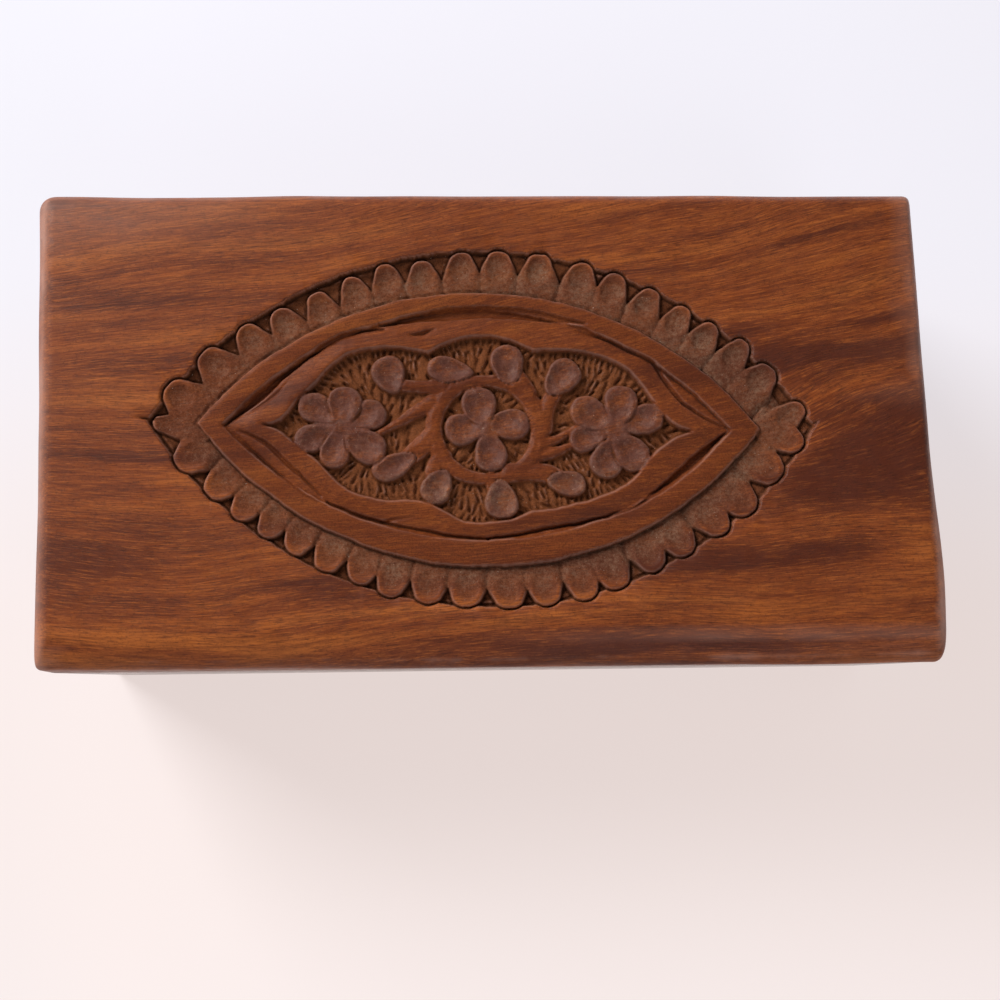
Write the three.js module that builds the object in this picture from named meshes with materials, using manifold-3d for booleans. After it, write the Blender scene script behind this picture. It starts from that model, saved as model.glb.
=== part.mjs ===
// Trinket box of reddish hardwood: a jointed base and a hinged lid with a relief-carved top.
// Millimetres. X runs along the length, Y from the front to the back and Z up.
// The origin is the middle of the underside. The box is shown closed.

import * as THREE from 'three';
import { mergeVertices } from 'three/addons/utils/BufferGeometryUtils.js';
import Module from 'manifold-3d';

const wasm = await Module();
wasm.setup();

// Whole box, closed
const boxLength = 180;
const boxDepth = 97;
const boxHeight = 64;

// Boards of the base and the lid
const wallThickness = 9;
const lapThickness = 3; // front and back boards cover the ends of the side boards by this much
const bottomThickness = 5;
const bottomSeat = 4.5; // width of the rebate that holds the bottom panel
const lidBoardThickness = 12;
const rimHeight = 5;
const seamGap = 0.3; // between the lid's rim and the base

// Rounded top edges of the lid board
const frontRoundReach = 8;
const backRoundReach = 4;
const leftRoundReach = 4;
const rightRoundReach = 3;
const edgeFall = 4;

// Upright corners of the base and the lid
const cornerRadius = 2;

// Hinges: the barrel lies in a bevelled groove along the back of the seam
const hingeEndDistance = 38; // from the box's ends to the middle of each hinge
const hingeLength = 25;
const hingeKnuckles = 5;
const barrelRadius = 1.5;
const barrelInset = 1.7; // from the back face to the hinge axis
const hingePinRadius = 0.7;
const pinClearance = 0.1;
const leafWidth = 5.7; // from the hinge axis to the leaf's free edge
const leafThickness = 0.9;
const knuckleGap = 0.3;
const hingeFit = 0.2; // round the leaves and the barrel
const openAngle = 100;
const bevelClearance = 0.6; // degrees on each bevel where the open lid stops

// Hinge screws
const screwSpacing = 15;
const screwLength = 7;
const screwHeadRadius = 1.4;
const screwHeadHeight = 0.8;
const screwShankRadius = 0.7;
const screwSlotWidth = 0.4;
const screwSlotDepth = 0.3;
const screwFit = 0.2;

// Panel pins that hold the bottom
const panelPinLength = 14;
const panelPinRadius = 0.6;
const panelPinHeadRadius = 1.2;
const panelPinHeadHeight = 0.6;
const panelPinEndDistance = 30; // from the box's ends to the outer pins of the long sides
const panelPinFit = 0.2;

// Carved ovals, each over its points and across its middle
const borderLength = 135;
const borderWidth = 74;
const bandLength = 113;
const bandWidth = 56.5;
const frameFieldLength = 102;
const frameFieldWidth = 47.6;
const frameLength = 99.4;
const frameWidth = 45.4;
const openingLength = 85;
const openingWidth = 38.4;
const cuspHalfSpan = 10.8; // from the middle of the lid to the cusps of the opening
const cuspSpread = 1.4; // how much further out the cusps of the frame's outer edge lie
const frameHumpRise = 2.4; // of the frame's outer edge between its cusps

// Depths of the carving below the lid's top
const pitDepth = 3.2;
const channelDepth = 2.4;
const lobeTipDepth = 0.5;
const grooveDepth = 1.8;
const groundDepth = 2.6;
const petalDepth = 0.6;
const heartDepth = 1.1;
const vineDepth = 0.8;
const dishDepth = 0.5;

// Scalloped border
const lobesPerSide = 20;
const lobeArchHeight = 4.2;
const lobeGap = 0.5; // between neighbours, at the shoulder
const lobeSeat = 0.4; // how far a lobe runs into the rim and into the band

// Flowers and vine
const petalLength = 6.2;
const petalWidth = 5;
const petalTaper = 0.12; // how much narrower a petal's foot is than its middle
const heartRadius = 2.9; // raised middle that joins a flower's petals
const sideFlowerX = 27.5;
const sidePetals = 6;
const sidePetalOffset = 5.5; // from the middle of a flower to the middle of a petal
const centrePetals = 4;
const centrePetalOffset = 4.7;
const vineInnerRadius = 9.2;
const vineOuterRadius = 11.4;
const stemWidth = 2;
const flowerStemRise = 3; // how far from the lid's long axis a side flower's stem leaves the vine
const budLength = 7.4;
const budWidth = 5.4;
const budTaper = 0.25;

// Buds: the middle of each, and the angle in degrees where its stem leaves the ring of vine
const buds = [
  { x: -19, y: 11.6, foot: 138 },
  { x: -7.4, y: 13.2, foot: 100 },
  { x: 4.8, y: 13.8, foot: 62 },
  { x: 16, y: 10.6, foot: 16 },
  { x: 16.6, y: -11, foot: -48 },
  { x: 2.9, y: -14.2, foot: -78 },
  { x: -9.6, y: -12.2, foot: -140 },
  { x: -18.4, y: -8.4, foot: 184 },
];

// Fineness of the round shapes
const roundSides = 12;
const ovalSteps = 23; // odd, so that no corner of an oval falls on the middle of a lobe
const sweepSteps = 12;
const ringSteps = 28;
const archSteps = 5;
const edgeSteps = 4;

const halfLength = boxLength / 2;
const halfDepth = boxDepth / 2;
const lidBoardBottom = boxHeight - lidBoardThickness;
const rimBottom = lidBoardBottom - rimHeight;
const baseTop = rimBottom - seamGap;
const hingeAxisY = halfDepth - barrelInset;
const hingeAxisZ = baseTop + seamGap / 2;
const overcut = 1; // how far a cutting shape runs past the face it cuts

const wood = (color) => new THREE.MeshStandardMaterial({ color, roughness: 0.55, metalness: 0 });
const lidWood = wood(0x7d482e);
const wallWood = wood(0x6e3b26);
const sideWood = wood(0x673823);
const bottomWood = wood(0x8a5a3b);
const brass = new THREE.MeshStandardMaterial({ color: 0xb08d4a, roughness: 0.35, metalness: 1 });
const steel = new THREE.MeshStandardMaterial({ color: 0x8d8f92, roughness: 0.4, metalness: 1 });

// Turn a closed geometry into a solid that can be cut and joined.
function toSolid(geometry) {
  const bare = geometry.clone();
  bare.deleteAttribute('normal');
  bare.deleteAttribute('uv');
  const merged = mergeVertices(bare);
  const vertProperties = new Float32Array(merged.attributes.position.array);
  const triVerts = new Uint32Array(merged.index.array);
  return new wasm.Manifold(new wasm.Mesh({ numProp: 3, vertProperties, triVerts }));
}

function toGeometry(solid) {
  const { vertProperties, triVerts } = solid.getMesh();
  const geometry = new THREE.BufferGeometry();
  geometry.setAttribute('position', new THREE.BufferAttribute(vertProperties, 3));
  geometry.setIndex(new THREE.BufferAttribute(triVerts, 1));
  geometry.computeVertexNormals();
  return geometry;
}

function namedMesh(name, geometry, material) {
  const mesh = new THREE.Mesh(geometry, material);
  mesh.name = name;
  return mesh;
}

// Box between two opposite corners.
function boxBetween(low, high) {
  const size = high.map((value, i) => value - low[i]);
  const middle = high.map((value, i) => (value + low[i]) / 2);
  return new THREE.BoxGeometry(...size).translate(...middle);
}

// Upright prism on a flat outline.
function prism(outline, bottom, top) {
  const shape = new THREE.Shape(outline);
  const settings = { depth: top - bottom, bevelEnabled: false };
  return new THREE.ExtrudeGeometry(shape, settings).translate(0, 0, bottom);
}

// Skin over rings of equal length, listed from the bottom up. The caps fan out from a middle
// point; the top one may lie lower than its ring, which makes a dished face.
function loft(rings, dish = 0) {
  const count = rings[0].length;
  const positions = rings.flat().flatMap((point) => point.toArray());
  const middleOf = (ring, sink) => {
    const middle = ring.reduce((sum, point) => sum.add(point), new THREE.Vector3());
    return middle.divideScalar(count).setZ(middle.z - sink);
  };
  positions.push(...middleOf(rings[0], 0).toArray());
  positions.push(...middleOf(rings.at(-1), dish).toArray());
  const bottomMiddle = rings.length * count;
  const topRing = bottomMiddle - count;
  const faces = [];
  for (let j = 0; j < count; j += 1) {
    const next = (j + 1) % count;
    faces.push(bottomMiddle, next, j);
    faces.push(bottomMiddle + 1, topRing + j, topRing + next);
    for (let low = 0; low < topRing; low += count) {
      const high = low + count;
      faces.push(low + j, low + next, high + next, low + j, high + next, high + j);
    }
  }
  const geometry = new THREE.BufferGeometry();
  geometry.setAttribute('position', new THREE.Float32BufferAttribute(positions, 3));
  geometry.setIndex(faces);
  return geometry;
}

// Points along an arc, with both ends.
function arcPoints(x, y, radius, from, to, steps) {
  const points = [];
  for (let i = 0; i <= steps; i += 1) {
    const angle = from + ((to - from) * i) / steps;
    points.push(new THREE.Vector2(x + radius * Math.cos(angle), y + radius * Math.sin(angle)));
  }
  return points;
}

// Close an upper half outline, which runs from its right end to its left end, with the same half
// turned round to the bottom.
function withLowerHalf(upper) {
  const lower = upper.slice(1, -1).map((point) => new THREE.Vector2(-point.x, -point.y));
  return [...upper, ...lower];
}

// Close a quarter outline, which runs from its right end to its top, by mirroring it.
function withMirrors(quarter) {
  const left = quarter.slice(0, -1).reverse().map((point) => new THREE.Vector2(-point.x, point.y));
  return withLowerHalf([...quarter, ...left]);
}

// Radius of the two arcs that bound a pointed oval, and how far their centres lie past its middle.
function ovalArcs(length, width) {
  const radius = (length ** 2 + width ** 2) / (4 * width);
  return { radius, drop: radius - width / 2 };
}

function pointedOval(length, width) {
  const { radius, drop } = ovalArcs(length, width);
  const tip = Math.atan2(drop, length / 2);
  return withLowerHalf(arcPoints(0, -drop, radius, tip, Math.PI - tip, ovalSteps));
}

function bezier(from, through, to) {
  const points = [from, through, to].map(([x, y]) => new THREE.Vector2(x, y));
  return new THREE.QuadraticBezierCurve(...points).getPoints(sweepSteps);
}

// Outer edge of the cusped frame: two long sweeps that meet a low hump in the middle.
function frameOutline() {
  const cuspX = cuspHalfSpan + cuspSpread;
  const cuspY = frameWidth / 2 - frameHumpRise;
  const sweep = bezier([frameLength / 2, 0], [frameLength / 3, cuspY], [cuspX, cuspY]);
  const hump = bezier([cuspX, cuspY], [cuspX / 2, frameWidth / 2], [0, frameWidth / 2]);
  return withMirrors([...sweep, ...hump.slice(1)]);
}

// Opening of the cusped frame: a round middle with a pointed lobe on each side.
function openingOutline() {
  const radius = openingWidth / 2;
  const cuspAngle = Math.acos(cuspHalfSpan / radius);
  const cusp = [cuspHalfSpan, radius * Math.sin(cuspAngle)];
  const sweep = bezier([openingLength / 2, 0], [openingLength / 3, radius], cusp);
  const round = arcPoints(0, 0, radius, cuspAngle, Math.PI / 2, archSteps);
  return withMirrors([...sweep, ...round.slice(1)]);
}

// Outline with its floor buried in the ground and a top whose height follows a function of place.
function raisedForm(outline, groundZ, topZ, dish = 0) {
  const points = THREE.ShapeUtils.isClockWise(outline) ? [...outline].reverse() : outline;
  const foot = points.map((point) => new THREE.Vector3(point.x, point.y, groundZ - overcut));
  const top = points.map((point) => new THREE.Vector3(point.x, point.y, topZ(point)));
  return toSolid(loft([foot, top], dish));
}

// One lobe of the border. It rises from the channel beside the band to the rim of the carving.
// The angle is measured from the middle of the side; side is 1 at the back and -1 at the front.
function borderLobe(angle, side) {
  const { radius, drop } = ovalArcs(borderLength, borderWidth);
  const band = ovalArcs(bandLength, bandWidth);
  const foot = band.radius - band.drop + drop - lobeSeat;
  const shoulder = radius - lobeArchHeight;
  const halfWidth = (lobePitch() - lobeGap) / 2;
  const halfFoot = (halfWidth * foot) / shoulder;
  const outward = new THREE.Vector2(Math.sin(angle), Math.cos(angle));
  const along = new THREE.Vector2(outward.y, -outward.x);
  const arch = arcPoints(0, 0, 1, 0, Math.PI, 2 * archSteps);
  const local = [
    [halfFoot, foot],
    ...arch.map((point) => [point.x * halfWidth, shoulder + point.y * (lobeArchHeight + lobeSeat)]),
    [-halfFoot, foot],
  ];
  const outline = local.map(([across, out]) => {
    const point = outward.clone().multiplyScalar(out).addScaledVector(along, across);
    return new THREE.Vector2(point.x, side * (point.y - drop));
  });
  const slope = (channelDepth - lobeTipDepth) / (radius - foot);
  const topZ = (point) => {
    const out = new THREE.Vector2(point.x, side * point.y + drop).dot(outward);
    return boxHeight - lobeTipDepth - slope * (radius - out);
  };
  return raisedForm(outline, boxHeight - pitDepth, topZ, dishDepth);
}

// Angle that the border's arc spans on each side of its middle.
function borderHalfAngle() {
  const { drop } = ovalArcs(borderLength, borderWidth);
  return Math.atan2(borderLength / 2, drop);
}

function lobePitch() {
  const { radius } = ovalArcs(borderLength, borderWidth);
  return (2 * borderHalfAngle() * (radius - lobeArchHeight)) / lobesPerSide;
}

// Dished petal or bud: an ellipse along a direction, narrower at its foot by the taper.
function dishedLeaf(x, y, direction, length, width, taper) {
  const outline = arcPoints(0, 0, 1, 0, 2 * Math.PI, 2 * archSteps).slice(1);
  const placed = outline.map((point) => {
    const across = (point.y * width * (1 + taper * point.x)) / 2;
    const local = new THREE.Vector2((point.x * length) / 2, across);
    return local.rotateAround(new THREE.Vector2(), direction).add(new THREE.Vector2(x, y));
  });
  return raisedForm(placed, boxHeight - groundDepth, () => boxHeight - petalDepth, dishDepth);
}

// Petals round a raised heart, the first one towards the back.
function flower(x, count, offset) {
  const petals = [];
  for (let i = 0; i < count; i += 1) {
    const angle = Math.PI / 2 + (i * 2 * Math.PI) / count;
    const petalX = x + offset * Math.cos(angle);
    const petalY = offset * Math.sin(angle);
    petals.push(dishedLeaf(petalX, petalY, angle, petalLength, petalWidth, petalTaper));
  }
  const heart = arcPoints(x, 0, heartRadius, 0, 2 * Math.PI, roundSides).slice(1);
  return [...petals, raisedForm(heart, boxHeight - groundDepth, () => boxHeight - heartDepth)];
}

// Straight stem between two points of the carving.
function stem(from, to) {
  const along = to.clone().sub(from).normalize().multiplyScalar(stemWidth / 2);
  const across = new THREE.Vector2(-along.y, along.x);
  const outline = [
    from.clone().sub(across),
    to.clone().sub(across),
    to.clone().add(across),
    from.clone().add(across),
  ];
  return raisedForm(outline, boxHeight - groundDepth, () => boxHeight - vineDepth);
}

function budWithStem({ x, y, foot }) {
  const radius = (vineInnerRadius + vineOuterRadius) / 2;
  const angle = THREE.MathUtils.degToRad(foot);
  const start = new THREE.Vector2(radius * Math.cos(angle), radius * Math.sin(angle));
  const way = new THREE.Vector2(x, y).sub(start);
  const end = start.clone().addScaledVector(way, 1 - budLength / 4 / way.length());
  return [stem(start, end), dishedLeaf(x, y, way.angle(), budLength, budWidth, budTaper)];
}

function vineRing() {
  const shape = new THREE.Shape();
  shape.setFromPoints(arcPoints(0, 0, vineOuterRadius, 0, 2 * Math.PI, ringSteps).slice(1));
  const well = new THREE.Path();
  well.setFromPoints(arcPoints(0, 0, vineInnerRadius, 0, 2 * Math.PI, ringSteps).slice(1));
  shape.holes.push(well);
  const depth = groundDepth + overcut - vineDepth;
  const ring = new THREE.ExtrudeGeometry(shape, { depth, bevelEnabled: false });
  return toSolid(ring.translate(0, 0, boxHeight - groundDepth - overcut));
}

// Lid board with rounded corners and top edges, before it is carved.
function lidBlank() {
  const ringAt = (turn, z) => {
    const inset = 1 - Math.cos(turn);
    const left = -halfLength + inset * leftRoundReach + cornerRadius;
    const right = halfLength - inset * rightRoundReach - cornerRadius;
    const front = -halfDepth + inset * frontRoundReach + cornerRadius;
    const back = halfDepth - inset * backRoundReach - cornerRadius;
    const corners = [[right, back], [left, back], [left, front], [right, front]];
    return corners.flatMap(([x, y], i) => {
      const from = (i * Math.PI) / 2;
      const arc = arcPoints(x, y, cornerRadius, from, from + Math.PI / 2, edgeSteps);
      return arc.map((point) => new THREE.Vector3(point.x, point.y, z));
    });
  };
  const rings = [ringAt(0, lidBoardBottom)];
  for (let i = 0; i <= edgeSteps; i += 1) {
    const turn = (i * Math.PI) / (2 * edgeSteps);
    rings.push(ringAt(turn, boxHeight - edgeFall * (1 - Math.sin(turn))));
  }
  return toSolid(loft(rings));
}

// Sunk areas of the carving: the border, the groove inside the band and the frame's opening.
function carvingCutters() {
  const top = boxHeight + overcut;
  const cutter = (outline, depth) => toSolid(prism(outline, boxHeight - depth, top));
  const border = cutter(pointedOval(borderLength, borderWidth), pitDepth);
  const band = cutter(pointedOval(bandLength, bandWidth), pitDepth + overcut);
  const field = cutter(pointedOval(frameFieldLength, frameFieldWidth), grooveDepth);
  const frame = cutter(frameOutline(), grooveDepth + overcut);
  const opening = cutter(openingOutline(), groundDepth);
  return [border.subtract(band), field.subtract(frame), opening];
}

// Forms left standing in the sunk areas: the border's lobes, the flowers, the vine and its buds.
function carvingForms() {
  const forms = [];
  for (let i = 0; i < lobesPerSide; i += 1) {
    const angle = borderHalfAngle() * ((2 * i + 1) / lobesPerSide - 1);
    forms.push(borderLobe(angle, 1), borderLobe(angle, -1));
  }
  forms.push(...flower(-sideFlowerX, sidePetals, sidePetalOffset));
  forms.push(...flower(sideFlowerX, sidePetals, sidePetalOffset));
  forms.push(...flower(0, centrePetals, centrePetalOffset));
  forms.push(vineRing());
  buds.forEach((bud) => forms.push(...budWithStem(bud)));
  const vineX = (vineInnerRadius + vineOuterRadius) / 2;
  const flowerX = sideFlowerX - sidePetalOffset;
  [-1, 1].forEach((side) => {
    const start = new THREE.Vector2(side * vineX, -side * flowerStemRise);
    forms.push(stem(start, new THREE.Vector2(side * flowerX, side * stemWidth / 2)));
  });
  return forms;
}

// Middles of the two hinges along the length.
function hingePlaces() {
  const place = halfLength - hingeEndDistance;
  return [-place, place];
}

// Two screws on the flat part of each leaf.
function screwPlaces(hingeX) {
  const y = hingeAxisY - (leafWidth + barrelRadius) / 2;
  return [hingeX - screwSpacing / 2, hingeX + screwSpacing / 2].map((x) => ({ x, y }));
}

// Cylinder along X about its middle.
function xCylinder(radius, length, x, y, z) {
  const cylinder = new THREE.CylinderGeometry(radius, radius, length, roundSides);
  return cylinder.rotateZ(Math.PI / 2).translate(x, y, z);
}

// Upright cylinder between two heights.
function zCylinder(radius, x, y, bottom, top) {
  const cylinder = new THREE.CylinderGeometry(radius, radius, top - bottom, roundSides);
  return cylinder.rotateX(Math.PI / 2).translate(x, y, (top + bottom) / 2);
}

// Wood taken out for one hinge: the leaf's seat, the barrel's groove and the screw holes.
// up is -1 in the base and 1 in the lid.
function hingeCutters(hingeX, up) {
  const face = up > 0 ? rimBottom : baseTop;
  const halfSeat = hingeLength / 2 + hingeFit;
  const seatFloor = face + up * (leafThickness + hingeFit);
  const front = hingeAxisY - leafWidth - hingeFit;
  const low = Math.min(seatFloor, face - up * overcut);
  const high = Math.max(seatFloor, face - up * overcut);
  const seat = boxBetween([hingeX - halfSeat, front, low], [hingeX + halfSeat, hingeAxisY, high]);
  const groove = xCylinder(barrelRadius + hingeFit, 2 * halfSeat, hingeX, hingeAxisY, hingeAxisZ);
  const holeEnd = face + up * (screwLength + screwFit);
  const holes = screwPlaces(hingeX).map(({ x, y }) => {
    const radius = screwShankRadius + screwFit;
    return zCylinder(radius, x, y, Math.min(face, holeEnd), Math.max(face, holeEnd));
  });
  return [seat, groove, ...holes].map(toSolid);
}

// Bevel along a back edge at the seam, below the hinge axis in the base and above it in the lid.
// The two bevels meet when the lid is fully open.
function bevelCutter(up) {
  const reach = barrelInset + overcut;
  const slope = THREE.MathUtils.degToRad(openAngle / 2 + bevelClearance);
  const drop = up * reach * Math.tan(slope);
  const section = new THREE.Shape([
    new THREE.Vector2(0, 0),
    new THREE.Vector2(reach, 0),
    new THREE.Vector2(reach, drop),
  ]);
  const span = boxLength + 2 * overcut;
  const wedge = new THREE.ExtrudeGeometry(section, { depth: span, bevelEnabled: false });
  const axes = new THREE.Matrix4().makeBasis(
    new THREE.Vector3(0, 1, 0),
    new THREE.Vector3(0, 0, 1),
    new THREE.Vector3(1, 0, 0),
  );
  return toSolid(wedge.applyMatrix4(axes).translate(-span / 2, hingeAxisY, hingeAxisZ));
}

// Plan of a front or back board: its ends are rebated to lap over the side boards, and its outer
// corners are rounded. side is 1 at the back and -1 at the front.
function lappedPlan(side) {
  const lap = halfDepth - lapThickness;
  const inner = halfDepth - wallThickness;
  const shoulder = halfLength - wallThickness;
  const cornerX = halfLength - cornerRadius;
  const cornerY = halfDepth - cornerRadius;
  const rightCorner = arcPoints(cornerX, cornerY, cornerRadius, 0, Math.PI / 2, edgeSteps);
  const rightEnd = [[shoulder, inner], [shoulder, lap], [halfLength, lap]];
  const right = [...rightEnd.map(([x, y]) => new THREE.Vector2(x, y)), ...rightCorner];
  const left = [...right].reverse().map((point) => new THREE.Vector2(-point.x, point.y));
  return [...right, ...left].map((point) => new THREE.Vector2(point.x, side * point.y));
}

// Side board between the laps.
function sideBoard(side, bottom, top) {
  const inner = side * (halfLength - wallThickness);
  const outer = side * halfLength;
  const reach = halfDepth - lapThickness;
  return boxBetween([Math.min(inner, outer), -reach, bottom], [Math.max(inner, outer), reach, top]);
}

// Extents of the bottom panel, which reaches into the rebates of all four walls.
function panelHalfSize() {
  return {
    x: halfLength - wallThickness + bottomSeat,
    y: halfDepth - wallThickness + bottomSeat,
  };
}

function panelBox(below) {
  const { x, y } = panelHalfSize();
  return boxBetween([-x, -y, -below], [x, y, bottomThickness]);
}

// Places of the panel pins, in the middle of the rebate all round.
function panelPinPlaces() {
  const { x, y } = panelHalfSize();
  const sideX = x - bottomSeat / 2;
  const longY = y - bottomSeat / 2;
  const endX = halfLength - panelPinEndDistance;
  const along = [-endX, 0, endX];
  return [
    ...along.map((place) => ({ x: place, y: -longY })),
    ...along.map((place) => ({ x: place, y: longY })),
    { x: -sideX, y: 0 },
    { x: sideX, y: 0 },
  ];
}

// Drilling for the panel pins, through the panel and up into the walls.
function panelPinHoles() {
  const top = panelPinLength + panelPinFit;
  return panelPinPlaces().map(({ x, y }) => zCylinder(panelPinRadius + panelPinFit, x, y, -overcut, top));
}

function panelPinSinks() {
  const radius = panelPinHeadRadius + panelPinFit;
  const top = panelPinHeadHeight + panelPinFit;
  return panelPinPlaces().map(({ x, y }) => zCylinder(radius, x, y, -overcut, top));
}

function subtractAll(solid, cutters) {
  return cutters.reduce((rest, cutter) => rest.subtract(cutter), solid);
}

function addAll(solid, forms) {
  return forms.reduce((whole, form) => whole.add(form), solid);
}

// Base: four walls and a bottom panel held by pins.
function makeBase() {
  const base = new THREE.Group();
  const drilling = panelPinHoles().map(toSolid);
  const wallCutters = [toSolid(panelBox(overcut)), ...drilling];
  const hingeCuts = [...hingePlaces().flatMap((x) => hingeCutters(x, -1)), bevelCutter(-1)];
  const walls = [
    ['base_front_wall', prism(lappedPlan(-1), 0, baseTop), wallCutters, wallWood],
    ['base_back_wall', prism(lappedPlan(1), 0, baseTop), [...wallCutters, ...hingeCuts], wallWood],
    ['base_left_wall', sideBoard(-1, 0, baseTop), wallCutters, sideWood],
    ['base_right_wall', sideBoard(1, 0, baseTop), wallCutters, sideWood],
    ['base_bottom_panel', panelBox(0), [...drilling, ...panelPinSinks().map(toSolid)], bottomWood],
  ];
  walls.forEach(([name, blank, cutters, material]) => {
    const geometry = toGeometry(subtractAll(toSolid(blank), cutters));
    base.add(namedMesh(name, geometry, material));
  });
  panelPinPlaces().forEach(({ x, y }, i) => {
    const pin = namedMesh(`bottom_pin_${i + 1}`, panelPinGeometry(), steel);
    pin.position.set(x, y, 0);
    base.add(pin);
  });
  return base;
}

// Panel pin with its head down, from the middle of its head's face.
function panelPinGeometry() {
  const profile = [
    [0, 0],
    [panelPinHeadRadius, 0],
    [panelPinHeadRadius, panelPinHeadHeight],
    [panelPinRadius, panelPinHeadHeight],
    [panelPinRadius, panelPinLength - 2 * panelPinRadius],
    [0, panelPinLength],
  ];
  const points = profile.map(([radius, height]) => new THREE.Vector2(radius, height));
  return new THREE.LatheGeometry(points, roundSides).rotateX(Math.PI / 2);
}

// Lid: a carved top board on a rim of four rails.
function makeLid() {
  const lid = new THREE.Group();
  const hingeCuts = [...hingePlaces().flatMap((x) => hingeCutters(x, 1)), bevelCutter(1)];
  const carved = addAll(subtractAll(lidBlank(), carvingCutters()), carvingForms());
  const pieces = [
    ['lid_top_board', subtractAll(carved, hingeCuts), lidWood],
    ['lid_front_rail', toSolid(prism(lappedPlan(-1), rimBottom, lidBoardBottom)), wallWood],
    ['lid_back_rail', railWithHinges(hingeCuts), wallWood],
    ['lid_left_rail', toSolid(sideBoard(-1, rimBottom, lidBoardBottom)), sideWood],
    ['lid_right_rail', toSolid(sideBoard(1, rimBottom, lidBoardBottom)), sideWood],
  ];
  pieces.forEach(([name, solid, material]) => lid.add(namedMesh(name, toGeometry(solid), material)));
  return lid;
}

function railWithHinges(hingeCuts) {
  return subtractAll(toSolid(prism(lappedPlan(1), rimBottom, lidBoardBottom)), hingeCuts);
}

// Countersunk hinge screw, head down, from the middle of its head's face.
function hingeScrewGeometry() {
  const profile = [
    [0, 0],
    [screwHeadRadius, 0],
    [screwShankRadius, screwHeadHeight],
    [screwShankRadius, screwLength - 2 * screwShankRadius],
    [0, screwLength],
  ];
  const points = profile.map(([radius, height]) => new THREE.Vector2(radius, height));
  const body = toSolid(new THREE.LatheGeometry(points, roundSides).rotateX(Math.PI / 2));
  const halfSlot = screwSlotWidth / 2;
  const reach = screwHeadRadius + overcut;
  const slot = boxBetween([-reach, -halfSlot, -overcut], [reach, halfSlot, screwSlotDepth]);
  return toGeometry(body.subtract(toSolid(slot)));
}

// One leaf of a hinge, about the hinge axis. up is -1 for the base's leaf, which has the outer
// knuckles, and 1 for the lid's leaf, which has those between.
function hingeLeafGeometry(up) {
  const pitch = hingeLength / hingeKnuckles;
  const face = (up * seamGap) / 2;
  const back = face + up * leafThickness;
  const half = hingeLength / 2;
  const low = Math.min(face, back);
  const high = Math.max(face, back);
  let leaf = toSolid(boxBetween([-half, -leafWidth, low], [half, 0, high]));
  const firstOwn = up > 0 ? 1 : 0;
  for (let i = 0; i < hingeKnuckles; i += 1) {
    const x = -half + (i + 0.5) * pitch;
    if (i % 2 === firstOwn) {
      const left = i === 0 ? -half : x - (pitch - knuckleGap) / 2;
      const right = i === hingeKnuckles - 1 ? half : x + (pitch - knuckleGap) / 2;
      leaf = leaf.add(toSolid(xCylinder(barrelRadius, right - left, (left + right) / 2, 0, 0)));
    } else {
      const gap = xCylinder(barrelRadius + hingeFit, pitch + knuckleGap, x, 0, 0);
      leaf = leaf.subtract(toSolid(gap));
    }
  }
  const bore = xCylinder(hingePinRadius + pinClearance, hingeLength + 2 * overcut, 0, 0, 0);
  const sinks = screwPlaces(0).map(({ x, y }) => {
    const wide = screwHeadRadius + screwFit;
    const narrow = screwShankRadius + screwFit;
    const profile = [[0, -overcut], [wide, -overcut], [wide, 0], [narrow, screwHeadHeight]];
    profile.push([narrow, leafThickness + overcut], [0, leafThickness + overcut]);
    const points = profile.map(([radius, height]) => new THREE.Vector2(radius, height));
    const sink = new THREE.LatheGeometry(points, roundSides).rotateX((up * Math.PI) / 2);
    return toSolid(sink.translate(x, y - hingeAxisY, face));
  });
  return toGeometry(subtractAll(leaf, [toSolid(bore), ...sinks]));
}

// Hinge: two leaves, a pin and two screws in each leaf. The base's pieces and the lid's pieces go
// into their own groups.
function addHinge(side, hingeX, base, lid) {
  const halves = [
    { owner: base, place: 'base', up: -1, face: baseTop },
    { owner: lid, place: 'lid', up: 1, face: rimBottom },
  ];
  halves.forEach(({ owner, place, up, face }) => {
    const leaf = namedMesh(`${side}_hinge_${place}_leaf`, hingeLeafGeometry(up), brass);
    leaf.position.set(hingeX, hingeAxisY, hingeAxisZ);
    owner.add(leaf);
    screwPlaces(hingeX).forEach(({ x, y }, i) => {
      const screw = namedMesh(`${side}_hinge_${place}_screw_${i + 1}`, hingeScrewGeometry(), brass);
      screw.position.set(x, y, face);
      screw.rotation.x = up > 0 ? 0 : Math.PI;
      owner.add(screw);
    });
  });
  const pin = xCylinder(hingePinRadius, hingeLength, 0, 0, 0);
  const pinMesh = namedMesh(`${side}_hinge_pin`, pin, steel);
  pinMesh.position.set(hingeX, hingeAxisY, hingeAxisZ);
  base.add(pinMesh);
}

const base = makeBase();
const lid = makeLid();
const [leftHingeX, rightHingeX] = hingePlaces();
addHinge('left', leftHingeX, base, lid);
addHinge('right', rightHingeX, base, lid);

const box = new THREE.Group();
box.add(base, lid);

export default box;
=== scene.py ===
"""Looks of a carved trinket box: a jointed hardwood base and a hinged lid with a relief-carved top.

Sizes inside the classes are millimetres, as a woodworker would note them, and turn into metres
when a piece is made. X runs along the length, Y from front to back and Z up. The places of all
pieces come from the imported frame.
"""

import logging
import math
from collections.abc import Sequence
from dataclasses import dataclass, replace
from enum import Enum
from typing import Any

import bmesh
import bpy
import numpy as np
from mathutils import Matrix, Vector

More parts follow.
